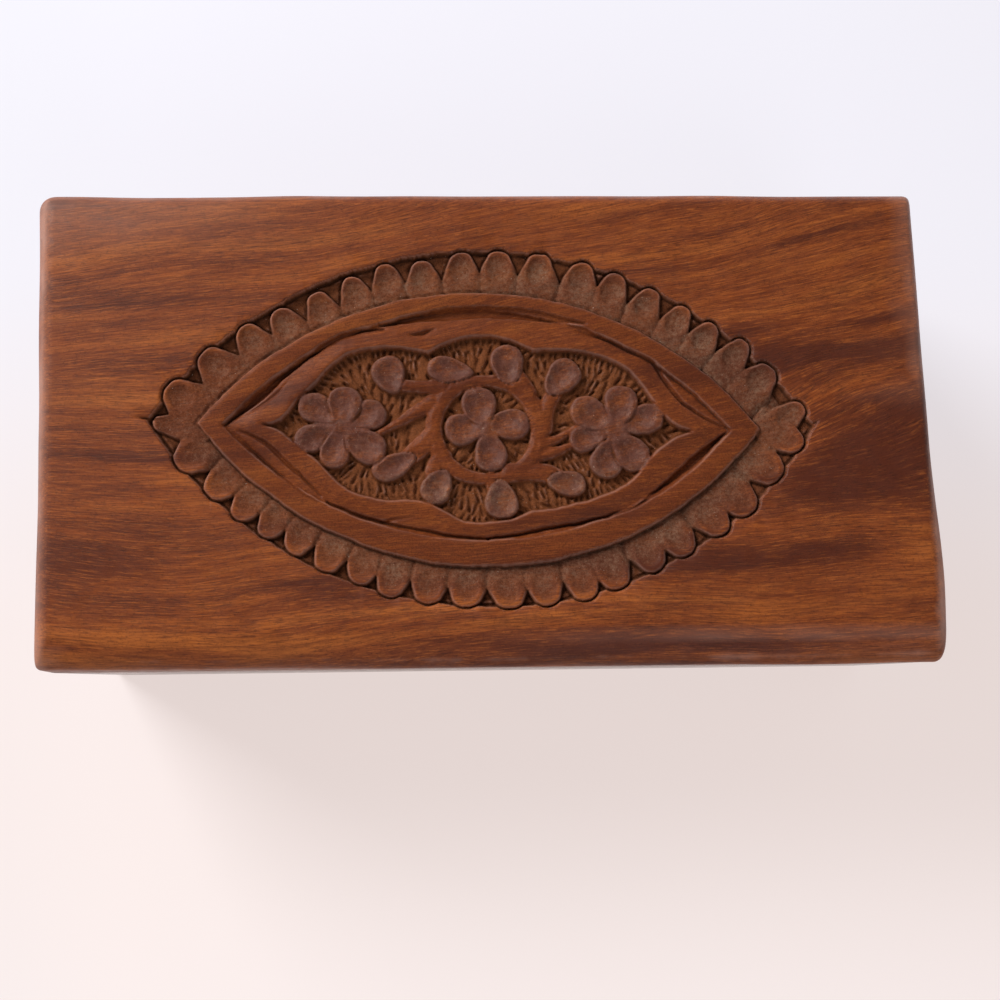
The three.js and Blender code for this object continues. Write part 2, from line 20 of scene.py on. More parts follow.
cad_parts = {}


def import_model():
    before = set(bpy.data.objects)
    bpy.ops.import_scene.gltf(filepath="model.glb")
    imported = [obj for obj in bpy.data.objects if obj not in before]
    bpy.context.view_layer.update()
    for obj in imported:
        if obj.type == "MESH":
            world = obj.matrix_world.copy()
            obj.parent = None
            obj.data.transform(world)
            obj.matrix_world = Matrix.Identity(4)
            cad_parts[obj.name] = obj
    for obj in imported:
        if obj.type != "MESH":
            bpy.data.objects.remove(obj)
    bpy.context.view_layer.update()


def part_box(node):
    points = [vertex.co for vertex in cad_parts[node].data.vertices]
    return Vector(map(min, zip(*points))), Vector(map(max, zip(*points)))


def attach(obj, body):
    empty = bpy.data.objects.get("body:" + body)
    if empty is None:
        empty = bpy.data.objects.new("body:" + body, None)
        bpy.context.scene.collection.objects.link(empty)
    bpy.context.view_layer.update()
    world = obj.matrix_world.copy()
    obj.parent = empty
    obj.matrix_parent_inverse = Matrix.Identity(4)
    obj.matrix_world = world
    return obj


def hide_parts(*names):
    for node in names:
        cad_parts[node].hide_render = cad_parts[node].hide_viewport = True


LOG = logging.getLogger("trinket_box")
METRES = 0.001  # one millimetre
TINY = 1e-9
ENDLESS = 1e9  # distance to something that isn't there
UNCUT = 9.0  # depth that lies below everything carved
SIDES = ("front", "back", "left", "right")
LEAF_THICKNESS = 0.9  # of the hinges, and of the seats that are cut for them
Piece = bpy.types.Object
Material = bpy.types.Material
Array = np.ndarray
Pair = tuple[Array, Array]
Corners = tuple[Vector, Vector]
Point = tuple[float, float]
Colour = tuple[float, float, float]
Triple = tuple[float, float, float]


class Body(Enum):
    """Moving bodies of the box."""

    BASE = "base"
    LID = "lid"


class Slot(Enum):
    """Material slots of the record."""

    LID_WOOD = "lid_wood"
    WALL_WOOD = "wall_wood"
    BOTTOM_WOOD = "bottom_wood"
    BRASS = "brass"
    STEEL = "steel"


class Grain(Enum):
    """Direction in which a board's grain runs."""

    LENGTHWAYS = "along X"
    CROSSWAYS = "along Y"


# Arithmetic on arrays of places


def ease(value: Array, low: float, high: float) -> Array:
    """Rise smoothly from 0 where the value is low to 1 where it is high."""
    share = np.clip((value - low) / (high - low), 0.0, 1.0)
    return share * share * (3.0 - 2.0 * share)


def soft_noise(x: Array, y: Array, cell: float, seed: int) -> Array:
    """Smooth random unevenness from -1 to 1.

    Args:
        x: Places along the length.
        y: Places across it.
        cell: Width of one bump.
        seed: Number that picks the pattern.

    Returns:
        The unevenness at each place.
    """
    side = 256
    table = np.random.default_rng(seed).uniform(-1.0, 1.0, (side, side))
    u, v = x / cell + side / 2, y / cell + side / 2
    i, j = np.floor(u).astype(int), np.floor(v).astype(int)
    share_u, share_v = ease(u - i, 0.0, 1.0), ease(v - j, 0.0, 1.0)
    corners = [[table[(i + a) % side, (j + b) % side] for b in (0, 1)] for a in (0, 1)]
    near = corners[0][0] * (1 - share_v) + corners[0][1] * share_v
    far = corners[1][0] * (1 - share_v) + corners[1][1] * share_v
    return near * (1 - share_u) + far * share_u


def curve_through(points: Sequence[Sequence[float]], steps: int = 6) -> Array:
    """Smooth curve through given points.

    Args:
        points: Points, of any number of coordinates each.
        steps: Steps between two neighbours.

    Returns:
        The points along the curve, both ends among them.
    """
    p = np.array(points, float)
    padded = np.vstack([2 * p[0] - p[1], p, 2 * p[-1] - p[-2]])
    t = (np.arange(steps) / steps)[:, None]
    spans = []
    for a, b, c, d in zip(padded, padded[1:], padded[2:], padded[3:]):
        linear, square, cube = c - a, 2 * a - 5 * b + 4 * c - d, 3 * b - a - 3 * c + d
        spans.append(b + 0.5 * (t * linear + t**2 * square + t**3 * cube))
    return np.vstack([*spans, p[-1:]])


def segment_distance(
    x: Array, y: Array, start: Sequence[float], end: Sequence[float]
) -> Pair:
    """Distance to a straight segment.

    Args:
        x: Places along the length.
        y: Places across it.
        start: First end of the segment.
        end: Its other end.

    Returns:
        The distance at each place, and how far along the segment its nearest point is, from 0 to 1.
    """
    dx, dy = end[0] - start[0], end[1] - start[1]
    along = ((x - start[0]) * dx + (y - start[1]) * dy) / max(dx * dx + dy * dy, TINY)
    along = np.clip(along, 0.0, 1.0)
    return np.hypot(x - start[0] - along * dx, y - start[1] - along * dy), along


def stroke_distance(x: Array, y: Array, line: Array) -> Array:
    """Signed distance to a stroke whose width changes along it; negative inside.

    Args:
        x: Places along the length.
        y: Places across it.
        line: Rows of x, y and full width along the stroke.

    Returns:
        The distance at each place.
    """
    best = np.full(x.shape, ENDLESS)
    for start, end in zip(line, line[1:]):
        gap, along = segment_distance(x, y, start, end)
        best = np.minimum(best, gap - (start[2] + along * (end[2] - start[2])) / 2)
    return best


def outline_distance(x: Array, y: Array, outline: Array) -> Array:
    """Signed distance to a closed outline; negative inside.

    Args:
        x: Places along the length.
        y: Places across it.
        outline: Corners in order, without the first one repeated.

    Returns:
        The distance at each place.
    """
    best = np.full(x.shape, ENDLESS)
    inside = np.zeros(x.shape, bool)
    for start, end in zip(outline, np.roll(outline, -1, axis=0)):
        best = np.minimum(best, segment_distance(x, y, start, end)[0])
        (ax, ay), (bx, by) = start, end
        if ay != by:
            crossing = ax + (y - ay) * (bx - ax) / (by - ay)
            inside ^= ((ay > y) != (by > y)) & (x < crossing)
    return np.where(inside, -best, best)


def blurred(grid: Array, reach: int) -> Array:
    """Average each cell with its neighbours in both directions.

    Args:
        grid: Values on a square grid.
        reach: How many cells away the neighbours may be.

    Returns:
        The softened values.
    """
    weights = np.exp(-0.5 * (np.arange(-reach, reach + 1) / (0.5 * reach + 0.25)) ** 2)
    weights /= weights.sum()
    result = grid
    for axis in (0, 1):
        padding = [(reach, reach) if a == axis else (0, 0) for a in (0, 1)]
        padded = np.pad(result, padding, mode="edge")
        count = grid.shape[axis]
        shifts = (np.take(padded, np.arange(i, i + count), axis=axis) for i in range(2 * reach + 1))
        result = sum(weight * shift for weight, shift in zip(weights, shifts))
    return result


# The carving


@dataclass(frozen=True)
class Bumps:
    """Random unevenness of a surface or line that was cut by hand.

    Attributes:
        height: Its greatest height, either way.
        cell: Width of one bump.
        seed: Number that picks the pattern.
    """

    height: float
    cell: float
    seed: int

    def at(self, x: Array, y: Array) -> Array:
        """Bumps at each place."""
        return self.height * soft_noise(x, y, self.cell, self.seed)


@dataclass(frozen=True)
class KnifeLine:
    """Thin cut that follows an edge.

    Attributes:
        beside: Distance of its middle from the edge, below 0 on the inner side.
        core: Half the width of its bottom.
        reach: Distance from its middle to where it ends.
    """

    beside: float
    core: float
    reach: float

    def share(self, edge: Array) -> Array:
        """Share of the full depth, from 0 to 1, for signed distances from the edge."""
        return 1 - ease(np.abs(edge - self.beside), self.core, self.reach)


@dataclass(frozen=True)
class PointedOval:
    """Pointed oval between two tips, bounded by one arc at the back and one at the front."""

    left: Point
    right: Point
    back: float  # height of the back arc over the line between the tips
    front: float  # height of the front arc below that line

    def distance(self, x: Array, y: Array) -> Array:
        """Signed distance to the oval; negative inside."""
        chord = Vector(self.right) - Vector(self.left)
        middle = (Vector(self.right) + Vector(self.left)) / 2
        outward = Vector((-chord.y, chord.x)).normalized()
        sides = []
        for height, way in ((self.back, 1.0), (self.front, -1.0)):
            radius = (chord.length_squared / 4 + height**2) / (2 * height)
            centre = middle + outward * way * (height - radius)
            sides.append(np.hypot(x - centre.x, y - centre.y) - radius)
        return np.maximum(*sides)


@dataclass(frozen=True)
class Petal:
    """One dished petal or bud, broader at its free end.

    Attributes:
        x: Middle, along the length.
        y: Middle, across it.
        length: Size along its own axis.
        width: Size across that axis.
        turn: Direction of its free end, in degrees from +X.
        scoop: Middle of its scoop, along and across the axis in half sizes.
    """

    x: float
    y: float
    length: float
    width: float
    turn: float
    scoop: Point = (-0.15, 0.0)
    scoop_size: Point = (0.84, 0.76)
    scoop_power: float = 2.5  # 2 gives a round bowl
    rim: float = 0.7  # depth of its face there
    fall: float = 0.1
    dish: float = 0.8
    broadening: float = 0.2
    broadening_range: Point = (-1.2, 1.0)
    inner_stretch: float = 1.18

    def local(self, x: Array, y: Array) -> Pair:
        """Place on the petal.

        Returns:
            The place along the axis and across it, each from -1 to 1 between the petal's edges.
        """
        angle = math.radians(self.turn)
        along = (x - self.x) * math.cos(angle) + (y - self.y) * math.sin(angle)
        across = (y - self.y) * math.cos(angle) - (x - self.x) * math.sin(angle)
        along = along / self.length * 2
        broad = 1.0 + self.broadening * np.clip(along, *self.broadening_range)
        along = np.where(along < 0, along / self.inner_stretch, along)
        return along, across / (self.width * broad) * 2

    def distance(self, x: Array, y: Array) -> Array:
        """Signed distance to the petal's edge; negative inside."""
        outer = np.hypot(*self.local(x, y))
        return (outer - 1.0) * min(self.length, self.width) / 2

    def surface(self, x: Array, y: Array) -> Array:
        """Depth of the petal's scooped face."""
        along, across = self.local(x, y)
        rim = self.rim + self.fall * np.clip(np.hypot(along, across), 0.0, 1.0) ** 3
        off_along = (along - self.scoop[0]) / self.scoop_size[0]
        off_across = (across - self.scoop[1]) / self.scoop_size[1]
        inner = np.hypot(off_along, off_across)
        return np.maximum(rim, self.rim + self.dish * (1.0 - inner**self.scoop_power))


@dataclass(frozen=True)
class Stroke:
    """Raised stem or cut groove along a given line.

    Attributes:
        points: Rows of x, y and full width.
        depth: Depth of a stem's top, or of a groove's bottom, below what it lies in.
    """

    points: tuple[Triple, ...]
    depth: float

    def distance(self, x: Array, y: Array) -> Array:
        """Signed distance to the stroke's edge; negative inside."""
        return stroke_distance(x, y, curve_through(self.points))


@dataclass(frozen=True)
class Lobe:
    """One gouged scallop of the border.

    Attributes:
        tip: Its tip, by the rim of the carving.
        outward: Unit vector from the band to the tip.
        half_width: Half its width at the foot of its arch.
        reach: Distance from the tip to the band.
    """

    tip: Point
    outward: Point
    half_width: float
    reach: float
    shoulder: float = 0.42  # width at the tip, as a share of the full width
    corner: float = 1.2
    arch: float = 5.4  # distance from the tip at which the full width is reached
    tip_depth: float = 0.35
    foot_depth: float = 1.15
    fall: Point = (-0.1, 0.8)  # stretch in which the face falls, as shares of the reach
    gouge: float = 0.85  # depth of the thumbnail cut in the face
    gouge_middle: float = 3.4
    gouge_half: Point = (3.1, 2.6)
    gouge_power: float = 2.5
    side_fall: float = 0.9
    side_power: int = 7
    under_band: float = 2.0

    def local(self, x: Array, y: Array) -> Pair:
        """Distance inwards from the tip and across the axis."""
        dx, dy = x - self.tip[0], y - self.tip[1]
        inward = -(dx * self.outward[0] + dy * self.outward[1])
        return inward, dx * self.outward[1] - dy * self.outward[0]

    def distance(self, x: Array, y: Array) -> Array:
        """Signed distance to the lobe's edge; negative inside."""
        inward, across = self.local(x, y)
        slope = (1.0 - self.shoulder) * self.half_width / self.arch
        side = (np.abs(across) - self.half_width * self.shoulder - slope * inward) / math.hypot(1.0, slope)
        a, b = side + self.corner, self.corner - inward
        edge = np.minimum(np.maximum(a, b), 0.0) + np.hypot(np.maximum(a, 0), np.maximum(b, 0)) - self.corner
        return np.maximum(edge, inward - self.reach - self.under_band)

    def surface(self, x: Array, y: Array) -> Array:
        """Depth of the lobe's face: it falls towards the band and holds one thumbnail cut."""
        inward, across = self.local(x, y)
        share = np.clip(inward / self.reach, 0.0, 1.0)
        sweep = self.tip_depth + (self.foot_depth - self.tip_depth) * ease(share, *self.fall)
        off = np.hypot((inward - self.gouge_middle) / self.gouge_half[0], across / self.gouge_half[1])
        side = np.clip(across / self.half_width, -1.0, 1.0)
        cut = self.gouge * np.clip(1.0 - off**self.gouge_power, 0.0, 1.0)
        return sweep + cut + self.side_fall * np.abs(side) ** self.side_power


@dataclass(frozen=True)
class ChiselNicks:
    """Short chisel nicks that texture the sunk ground, in rows along its edge and round its ring."""

    pitch: float = 1.25
    length: float = 2.9
    first_row: float = 1.2
    last_row: float = 17.0
    row_step: float = 2.3
    spread: Triple = (0.2, 0.3, 0.22)  # random drift along the lid, across it and of the direction
    swirl: Bumps = Bumps(0.45, 6.0, 13)
    length_range: Point = (0.75, 1.1)
    width_range: Point = (0.75, 1.1)
    depth_range: Point = (0.75, 1.25)
    run_out: float = 0.75  # where a nick runs out, as a share of its length
    stop: Point = (-0.2, 0.1)  # where its steep end starts and ends
    level_low: Point = (13.2, -2.5)  # corners of the patch where the nicks lie along X
    level_high: Point = (18.4, 6.5)
    level_turn: float = 0.1
    ring_count: int = 22
    ring_inset: float = 1.6
    ring_spread: Point = (0.05, 0.25)

    def rows(self, outline: Array, rng: np.random.Generator) -> list[Triple]:
        """Nicks in rows along the ground's edge.

        Args:
            outline: Corners of the ground, clockwise.
            rng: Source of the random drift.

        Returns:
            Place along the length, place across it and direction in radians of each nick.
        """
        closed = np.vstack([outline, outline[:1]])
        run = np.concatenate([[0.0], np.cumsum(np.hypot(*np.diff(closed, axis=0).T))])
        look, slack, closest = 0.8, 0.4, 0.8 * self.pitch
        spots = []
        for row in np.arange(self.first_row, self.last_row, self.row_step):
            at = np.arange(rng.uniform(0.0, 1.0), run[-1], self.pitch)
            x, y = (np.interp(at, run, closed[:, i]) for i in (0, 1))
            ahead = [np.interp(at + look, run, closed[:, i]) for i in (0, 1)]
            behind = [np.interp(at - look, run, closed[:, i]) for i in (0, 1)]
            facing = np.arctan2(behind[0] - ahead[0], ahead[1] - behind[1])
            x, y = x + row * np.cos(facing), y + row * np.sin(facing)
            kept = -outline_distance(x, y, outline) > row - slack
            last = (math.inf, math.inf)
            for px, py, angle in zip(x[kept], y[kept], facing[kept]):
                if math.dist(last, (px, py)) > closest:
                    last = (px, py)
                    level = all(a < p < b for a, p, b in zip(self.level_low, last, self.level_high))
                    turn = self.level_turn if level else angle + float(self.swirl.at(px, py))
                    drift = [rng.normal(0, width) for width in self.spread]
                    spots.append((px + drift[0], py + drift[1], turn + drift[2]))
        return spots

    def round_ring(self, middle: Point, hole: float, rng: np.random.Generator) -> list[Triple]:
        """Nicks inside a ring, pointing to its middle.

        Args:
            middle: Middle of the ring.
            hole: Radius of its hole.
            rng: Source of the random drift.

        Returns:
            Place along the length, place across it and direction in radians of each nick.
        """
        spots = []
        for i in range(self.ring_count):
            angle = 2 * math.pi * i / self.ring_count + rng.normal(0, self.ring_spread[0])
            reach = hole - self.ring_inset
            px, py = middle[0] + reach * math.cos(angle), middle[1] + reach * math.sin(angle)
            spots.append((px, py, angle + math.pi + rng.normal(0, self.ring_spread[1])))
        return spots

    def depth(self, x: Array, y: Array, spots: list[Triple]) -> Array:
        """Depth of the nicks on a square grid of places.

        Args:
            x: Places along the length, one column for each.
            y: Places across it, one row for each.
            spots: Place and direction of each nick.

        Returns:
            The depth at each place, 0 beside the nicks.
        """
        rng = np.random.default_rng(12)
        depth = np.zeros(x.shape)
        step = x[0, 1] - x[0, 0]
        window = int(self.length / step) + 2
        for spot_x, spot_y, angle in spots:
            length = self.length * rng.uniform(*self.length_range)
            width, deepest = rng.uniform(*self.width_range), rng.uniform(*self.depth_range)
            i = int(round((spot_y - y[0, 0]) / step))
            j = int(round((spot_x - x[0, 0]) / step))
            rows, columns = (slice(max(k - window, 0), max(k + window, 0)) for k in (i, j))
            px, py = x[rows, columns] - spot_x, y[rows, columns] - spot_y
            run = px * math.cos(angle) + py * math.sin(angle)
            side = py * math.cos(angle) - px * math.sin(angle)
            cut = np.clip(self.run_out - run / length, 0.0, 1.0)
            cut = cut * ease(run, -length / 2 + self.stop[0], -length / 2 + self.stop[1])
            cut *= deepest * np.clip(1.0 - np.abs(side) * 2 / width, 0.0, 1.0)
            depth[rows, columns] = np.maximum(depth[rows, columns], cut)
        return depth


@dataclass(frozen=True)
class LidCarving:
    """Relief on the lid: scalloped border, band, cusped frame, flowers, vine and chiselled ground.

    Depths are measured down from the lid's top, and the layout was read off. A wall is given by
    the distances from its edge at which it starts and ends, and a round by its fall and its reach.
    """

    half_length: float = 60.0
    half_width: float = 35.0
    slip: Point = (0.5, 1.25)  # how far the traced pattern lies off its place
    slant: Point = (0.3, -0.2)
    rise: float = 0.5
    bow: Triple = (0.5, 0.4, 0.5)
    wander_x: tuple[Bumps, ...] = (Bumps(0.18, 4.0, 21), Bumps(0.09, 1.3, 22))
    wander_y: tuple[Bumps, ...] = (Bumps(0.18, 4.0, 23), Bumps(0.09, 1.3, 24))

    pit_depth: float = 2.1
    pit_fall: float = 0.5  # the part of it that comes only away from the rim
    pit_fall_run: Point = (0.4, 2.4)
    pit_edge: Point = (-0.1, 0.25)
    pit_bumps: Bumps = Bumps(0.15, 1.3, 3)
    pit_ridges: Bumps = Bumps(0.2, 0.6, 4)
    ridge_stretch: float = 4.0
    rim_wobble: Bumps = Bumps(0.1, 0.9, 6)
    rim_wall: Point = (-0.1, 0.6)
    rim_cut: float = 0.55
    rim_cut_change: Bumps = Bumps(0.35, 3.6, 8)
    rim_line: KnifeLine = KnifeLine(-0.4, 0.05, 0.5)
    lobe_margin: float = 0.55
    lobe_wall: Point = (-0.1, 0.4)
    lobe_cut: float = 0.6
    lobe_cut_mean: float = 0.75
    lobe_cut_change: Bumps = Bumps(0.55, 2.6, 7)
    lobe_line: KnifeLine = KnifeLine(0.25, 0.08, 0.45)
    arc_centre_y: float = 43.3
    band_radius: float = 70.7

    band_depth: float = 0.12
    outer_round: Point = (0.18, -0.9)
    inner_round: Point = (0.12, -0.8)
    band_cut: float = 0.5
    band_cut_mean: float = 0.65
    band_cut_change: Bumps = Bumps(0.35, 1.6, 5)
    band_line: KnifeLine = KnifeLine(0.45, 0.0, 0.4)
    band_height: float = 3.0
    outer_wall: Point = (-0.05, 0.4)
    inner_wall: Point = (-0.05, 0.7)
    frame_high: float = 0.3
    frame_low: float = 1.15
    frame_fall: Point = (0.05, 1.0)
    frame_round: Point = (0.12, -0.4)
    groove_wall: Point = (-0.12, 0.42)
    point_wall: Point = (-0.1, 0.5)

    ground_depth: float = 2.15
    ground_bumps: Bumps = Bumps(0.12, 2.4, 31)
    ground_wall: Point = (-0.1, 0.95)
    ground_wall_height: float = 4.0
    nicks: ChiselNicks = ChiselNicks()
    vine_depth: float = 0.75
    stem_bumps: Bumps = Bumps(0.1, 2.2, 35)
    stem_round: Point = (0.35, -1.1)
    stem_wall: Point = (-0.08, 0.55)
    stem_height: float = 2.4
    leaf_wall: Point = (-0.05, 0.28)
    leaf_height: float = 2.6
    leaf_cut: float = 0.45
    leaf_line: KnifeLine = KnifeLine(0.16, 0.0, 0.34)
    leaf_depths: Point = (1.8, 2.0)  # a leaf shows above the first depth and is cut above the second
    heart_depth: float = 0.85
    heart_core: float = 0.4
    heart_bumps: Bumps = Bumps(0.1, 1.1, 36)

    border_depths: Point = (0.35, 0.85)  # where the finish turns from plain to carved
    ground_depths: Point = (1.4, 2.0)
    fine_grit: Bumps = Bumps(0.09, 0.55, 41)
    coarse_grit: Bumps = Bumps(0.08, 1.6, 42)
    relief_grit: float = 0.9
    frame_grit: float = 0.35
    framed_shares: Triple = (0.6, 0.8, 0.7)  # on the frame, the band and the vine

    rim: PointedOval = PointedOval((-67.5, 0.8), (66.5, -0.3), 36.5, 36.9)
    band_outer: PointedOval = PointedOval((-57.5, 0.7), (55.5, -0.5), 28.0, 28.4)
    band_inner: PointedOval = PointedOval((-52.3, 0.3), (49.4, -0.7), 24.8, 22.8)

    back_tips: tuple[Point, ...] = (
        (-63.5, 8.3), (-56.2, 15.5), (-48.5, 20.8), (-41.5, 24.7), (-34.0, 28.0), (-26.8, 31.3),
        (-20.0, 34.2), (-12.3, 34.9), (-4.0, 36.5), (3.9, 36.8), (12.5, 36.1), (21.3, 34.3),
        (28.0, 31.7), (35.2, 28.5), (41.6, 24.7), (47.2, 21.2), (53.6, 17.3), (58.6, 12.0),
        (64.6, 4.2),
    )
    front_tips: tuple[Point, ...] = (
        (-61.3, -8.5), (-55.2, -14.4), (-50.0, -19.0), (-44.6, -22.6), (-39.0, -26.0),
        (-32.7, -29.5), (-26.0, -32.0), (-20.0, -34.6), (-12.5, -36.0), (-4.5, -36.6),
        (4.0, -37.0), (11.7, -36.1), (19.5, -35.0), (25.8, -32.9), (33.6, -29.2), (40.0, -26.1),
        (47.3, -21.7), (53.0, -17.5), (59.0, -10.7), (63.6, -4.5),
    )
    left_tip: Point = (-66.4, 0.5)
    right_end: float = 60.0  # the lobes past it are narrow
    end_half_width: float = 3.5
    front_look: tuple[tuple[str, Any], ...] = (
        ("shoulder", 0.5), ("corner", 1.4), ("arch", 4.4), ("tip_depth", 0.4), ("foot_depth", 1.5),
        ("fall", (0.3, 0.8)), ("gouge", 0.55), ("gouge_middle", 4.0),
    )

    opening: tuple[tuple[Point, ...], ...] = (
        ((-45.0, 0.8), (-41.0, 1.6), (-37.5, 6.0), (-34.0, 9.3), (-30.5, 13.3), (-26.0, 15.9),
         (-20.0, 17.0), (-15.0, 16.6), (-11.0, 15.8)),
        ((-11.0, 15.8), (-8.0, 17.5), (-4.0, 18.8), (0.0, 19.3), (3.5, 18.9), (7.5, 17.6),
         (10.2, 16.2)),
        ((10.2, 16.2), (15.0, 16.3), (20.0, 15.8), (26.0, 14.0), (29.5, 11.9), (33.0, 7.6),
         (36.0, 3.2), (39.0, 0.4), (42.0, -1.0)),
        ((42.0, -1.0), (38.0, -2.4), (34.0, -5.3), (30.0, -9.8), (26.0, -12.6), (21.0, -14.6),
         (15.0, -16.2), (9.0, -16.9)),
        ((9.0, -16.9), (5.0, -18.6), (0.0, -19.4), (-5.0, -18.9), (-8.0, -17.4), (-11.0, -15.7)),
        ((-11.0, -15.7), (-15.0, -14.9), (-20.0, -15.0), (-25.0, -14.0), (-29.0, -12.0),
         (-33.0, -7.6), (-36.5, -4.6), (-41.0, -0.8), (-45.0, 0.8)),
    )

    petals: tuple[Petal, ...] = (
        Petal(-33.4, 3.9, 8.4, 6.2, 152, (-0.12, 0.05)),
        Petal(-33.9, -1.9, 8.6, 5.4, 194, (-0.12, 0.1)),
        Petal(-30.0, -4.6, 7.6, 5.8, 255, (-0.1, -0.16)),
        Petal(-23.9, 2.6, 8.2, 6.2, 24, (-0.22, 0.05)),
        Petal(-23.7, -3.7, 7.8, 6.8, -35, (-0.05, -0.05)),
        Petal(-28.1, 4.9, 7.4, 6.6, 88, (-0.1, 0.18)),
        Petal(5.0, 1.0, 8.4, 6.2, 6, (-0.16, 0.14)),
        Petal(1.1, -4.9, 7.4, 6.5, -83, (-0.05, 0.05)),
        Petal(-4.2, -0.1, 7.4, 6.5, 184, (-0.15, -0.05)),
        Petal(-1.0, 4.9, 7.4, 6.8, 98, (-0.2, 0.12)),
        Petal(20.4, -2.1, 6.6, 5.1, 192, (-0.1, -0.05)),
        Petal(24.5, -6.3, 7.6, 6.4, 247, (-0.12, 0.05)),
        Petal(21.6, 3.0, 8.6, 6.4, 150, (-0.25, 0.05)),
        Petal(32.3, 1.8, 8.0, 6.1, 20, (-0.15, 0.1)),
        Petal(29.3, -4.9, 8.0, 6.6, -52, (-0.1, 0.05)),
        Petal(27.8, 5.1, 7.4, 6.6, 82, (-0.05, 0.0)),
    )
    buds: tuple[Petal, ...] = (
        Petal(-19.1, 11.5, 7.4, 6.6, 112, (-0.1, -0.1)),
        Petal(-7.0, 12.3, 8.6, 5.2, 172, (-0.05, 0.0)),
        Petal(4.9, 13.7, 7.6, 6.7, 100, (-0.1, 0.1)),
        Petal(16.0, 10.7, 8.0, 6.4, 48, (-0.1, 0.1)),
        Petal(16.4, -11.1, 7.0, 5.3, -10, (0.0, 0.0)),
        Petal(3.0, -14.7, 7.4, 6.5, -86, (0.0, 0.12)),
        Petal(-9.9, -12.1, 7.0, 6.0, 238, (-0.1, 0.0)),
        Petal(-18.6, -7.8, 8.6, 5.2, 205, (-0.1, 0.0)),
    )
    hearts: tuple[Triple, ...] = ((-28.6, 0.4, 4.0), (0.3, -0.2, 3.0), (26.4, -0.8, 4.0))
    ring_middle: Point = (0.4, -0.1)
    ring_hole: float = 9.0
    ring_size: Point = (12.3, 11.3)
    ring_power: float = 2.25  # 2 gives an ellipse
    vine: tuple[Stroke, ...] = (
        Stroke(((-8.5, 8.7, 3.2), (-13.0, 8.7, 2.3), (-17.5, 9.2, 2.6)), 0.75),
        Stroke(((-10.6, 5.4, 3.4), (-15.8, 2.4, 1.9), (-21.5, -1.0, 1.1)), 0.85),
        Stroke(((-10.6, -1.4, 4.2), (-13.2, -3.9, 3.8), (-17.0, -7.2, 3.2)), 0.8),
        Stroke(((-8.8, -5.6, 4.0), (-10.4, -8.8, 3.4), (-10.4, -11.6, 3.0)), 0.85),
        Stroke(((11.8, 0.0, 3.6), (12.9, 5.0, 3.2), (15.2, 9.4, 3.0)), 0.75),
        Stroke(((8.6, 7.4, 4.0), (6.4, 11.0, 4.0)), 0.8),
        Stroke(((-4.0, 10.2, 2.6), (-7.0, 11.6, 2.2)), 0.85),
        Stroke(((5.0, -8.9, 3.8), (11.5, -8.9, 3.6), (15.5, -10.2, 3.2)), 0.75),
        Stroke(((1.0, -10.3, 3.0), (2.4, -13.0, 3.4)), 0.85),
        Stroke(((11.0, -3.2, 3.0), (14.4, -2.2, 1.5), (18.8, 0.4, 1.0)), 0.9),
        Stroke(((10.6, -5.4, 2.6), (14.2, -4.7, 1.9), (17.2, -3.5, 1.0)), 0.95),
    )
    grooves: tuple[Stroke, ...] = (
        Stroke(((-52.3, 0.2, 0.3), (-48.5, 3.3, 1.1), (-45.0, 6.3, 1.7), (-40.2, 11.0, 1.3),
                (-36.0, 13.9, 0.8), (-32.0, 17.3, 1.1), (-26.0, 19.9, 0.8), (-20.0, 20.8, 0.4)), 1.2),
        Stroke(((-50.0, 1.4, 0.2), (-45.0, 4.4, 0.6), (-41.5, 7.2, 0.5), (-39.5, 9.4, 0.2)), 0.6),
        Stroke(((-15.0, 19.4, 0.3), (-12.2, 19.6, 1.0), (-9.6, 20.7, 0.3)), 0.9),
        Stroke(((-21.0, 21.6, 0.6), (-10.0, 23.4, 2.2), (0.0, 24.0, 2.5), (11.0, 23.3, 2.1),
                (21.0, 21.4, 0.5)), 1.0),
        Stroke(((19.0, 20.1, 0.3), (26.0, 17.9, 0.8), (31.0, 15.4, 0.9), (34.5, 13.2, 0.9),
                (37.0, 9.6, 1.0), (40.0, 5.4, 0.9), (44.0, 2.3, 0.8), (49.2, -0.6, 0.3)), 1.0),
        Stroke(((33.0, 14.4, 0.3), (38.0, 10.4, 0.6), (43.0, 6.2, 0.6), (48.8, -0.2, 0.3)), 0.6),
        Stroke(((49.2, -0.9, 0.3), (45.5, -3.8, 1.5), (42.0, -6.8, 2.2), (38.5, -9.8, 1.8),
                (34.5, -13.0, 1.3), (31.0, -15.4, 0.8), (26.0, -17.4, 0.7), (20.0, -19.2, 0.8),
                (12.0, -20.5, 1.0), (5.0, -22.0, 0.8), (0.0, -22.8, 0.7)), 1.2),
        Stroke(((0.0, -22.9, 0.7), (-8.0, -21.9, 0.8), (-15.0, -20.6, 0.7), (-21.0, -19.3, 0.9),
                (-27.0, -17.6, 1.0), (-31.8, -15.2, 0.5)), 1.1),
        Stroke(((-21.0, -19.2, 0.6), (-14.2, -18.2, 0.25)), 0.7),
        Stroke(((-49.4, -0.6, 0.3), (-45.5, -2.2, 0.9), (-42.0, -5.0, 1.1), (-37.5, -9.4, 1.0),
                (-33.0, -14.0, 0.4)), 0.9),
        Stroke(((-50.2, -1.0, 0.3), (-46.0, -5.1, 0.8), (-41.0, -9.9, 0.8), (-36.0, -13.8, 0.6),
                (-31.5, -16.2, 0.3)), 0.8),
    )
    point_cuts: tuple[Stroke, ...] = (
        Stroke(((-64.5, 1.4, 1.2), (-67.5, 1.2, 0.8), (-70.3, 1.6, 0.1)), 1.2),
        Stroke(((64.5, -0.2, 1.2), (66.4, 0.2, 0.7), (67.6, 1.0, 0.1)), 1.0),
    )

